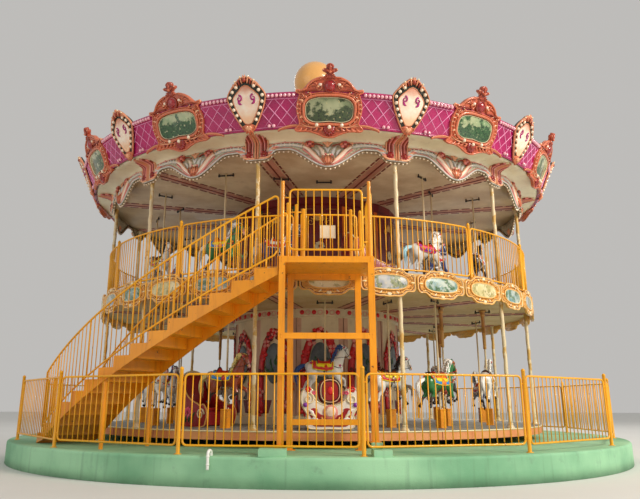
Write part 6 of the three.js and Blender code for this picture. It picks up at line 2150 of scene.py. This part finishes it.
def stage():
    """Plain floor, a pale sky and three soft lamps"""
    floor = bpy.data.meshes.new("floor")
    corners = oblong(-FLOOR_REACH, -FLOOR_REACH, FLOOR_REACH, FLOOR_REACH)
    floor.from_pydata([(*corner, FLOOR_LEVEL) for corner in corners], [], [(0, 1, 2, 3)])
    make = Nodes("floor_pale")
    tone = make.mix(make.noise(0.5, 3.0), rgb(214, 214, 210), rgb(222, 222, 219))
    floor.materials.append(make.finish(tone, 0.8))
    plane = bpy.data.objects.new("floor", floor)
    bpy.context.scene.collection.objects.link(plane)
    world = bpy.data.worlds.new("studio")
    bpy.context.scene.world = world
    world.use_nodes = True
    sky = world.node_tree.nodes["Background"]
    sky.inputs["Color"].default_value = (0.97, 0.95, 0.92, 1)
    sky.inputs["Strength"].default_value = 0.53
    for name, place, size, power, tint in LAMPS:
        lamp = bpy.data.lights.new(name, "AREA")
        lamp.size = size
        lamp.energy = power
        lamp.color = tint
        light = bpy.data.objects.new(name, lamp)
        light.location = place
        light.rotation_euler = (LAMP_AIM - Vector(place)).to_track_quat("-Z", "Y").to_euler()
        bpy.context.scene.collection.objects.link(light)


# The camera stands where the photo was taken
CAMERA_PLACE = (-0.437, -16.463, 1.175)
CAMERA_YAW = 0.374
CAMERA_PITCH = 15.88
CAMERA_ROLL = 0.12
CAMERA_LENS = 36.74
CAMERA_SHIFT = (0.0265, -0.0531)


def camera():
    """The camera that shows the ride as the photo does"""
    yaw, pitch, roll = (math.radians(a) for a in (CAMERA_YAW, CAMERA_PITCH, CAMERA_ROLL))
    ahead = Vector((math.sin(yaw) * math.cos(pitch), math.cos(yaw) * math.cos(pitch), math.sin(pitch)))
    right = Vector((math.cos(yaw), -math.sin(yaw), 0))
    up = right.cross(ahead)
    side = right * math.cos(roll) + up * math.sin(roll)
    top = up * math.cos(roll) - right * math.sin(roll)
    data = bpy.data.cameras.new("camera")
    data.lens = CAMERA_LENS
    data.sensor_fit = "HORIZONTAL"
    data.shift_x, data.shift_y = CAMERA_SHIFT
    view = bpy.data.objects.new("camera", data)
    frame_axes = Matrix((side, top, -ahead)).transposed()
    view.matrix_world = Matrix.Translation(CAMERA_PLACE) @ frame_axes.to_4x4()
    bpy.context.scene.collection.objects.link(view)
    bpy.context.scene.camera = view
    bpy.context.scene.view_settings.view_transform = "Standard"


camera()
stage()
make_paints()
make_pictures()
make_horse_paints()
green_concrete()
canopy_cream()
shield_cream()
boards("platform_boards", (rgb(226, 140, 92), rgb(240, 168, 118)))
boards("deck_boards", (rgb(206, 172, 118), rgb(224, 196, 150)))

base()
fence()
deck_rails()
deck_gate()
stair_rail("stair_rail_outer", STAIR_OUTER_RAIL, "stair_outer_handrail")
stair_rail("stair_rail_inner", STAIR_INNER_RAIL, "stair_inner_handrail")
landing_rails()
tower_details()
platform()
arcades()
fascia()
cornice()
ceilings()
ceiling_and_cove()
drums()
riders()
cranks()
sleeves_and_pedestals()
roof_globe()

for name in ("left_tower_pad", "right_tower_pad"):
    dress(name, "green_concrete", 0.012)
for name in ("stair_tower_front", "stair_tower_rear"):
    dress(name, "tower_orange", 0.006)
for name in ("landing_floor", "stair_steps", "stair_inner_plate", "stair_outer_plate", "stair_prop_1",
             "stair_prop_2"):
    dress(name, "tower_orange")
dress("slewing_ring", "dark_metal")
dress("lower_platform", "platform_boards")
dress("upper_deck", "deck_boards")
dress("lower_centre_drum", "plain_cream")
dress("upper_centre_drum", "maroon")
dress("canopy_roof", "roof_cream")

bpy.context.view_layer.update()
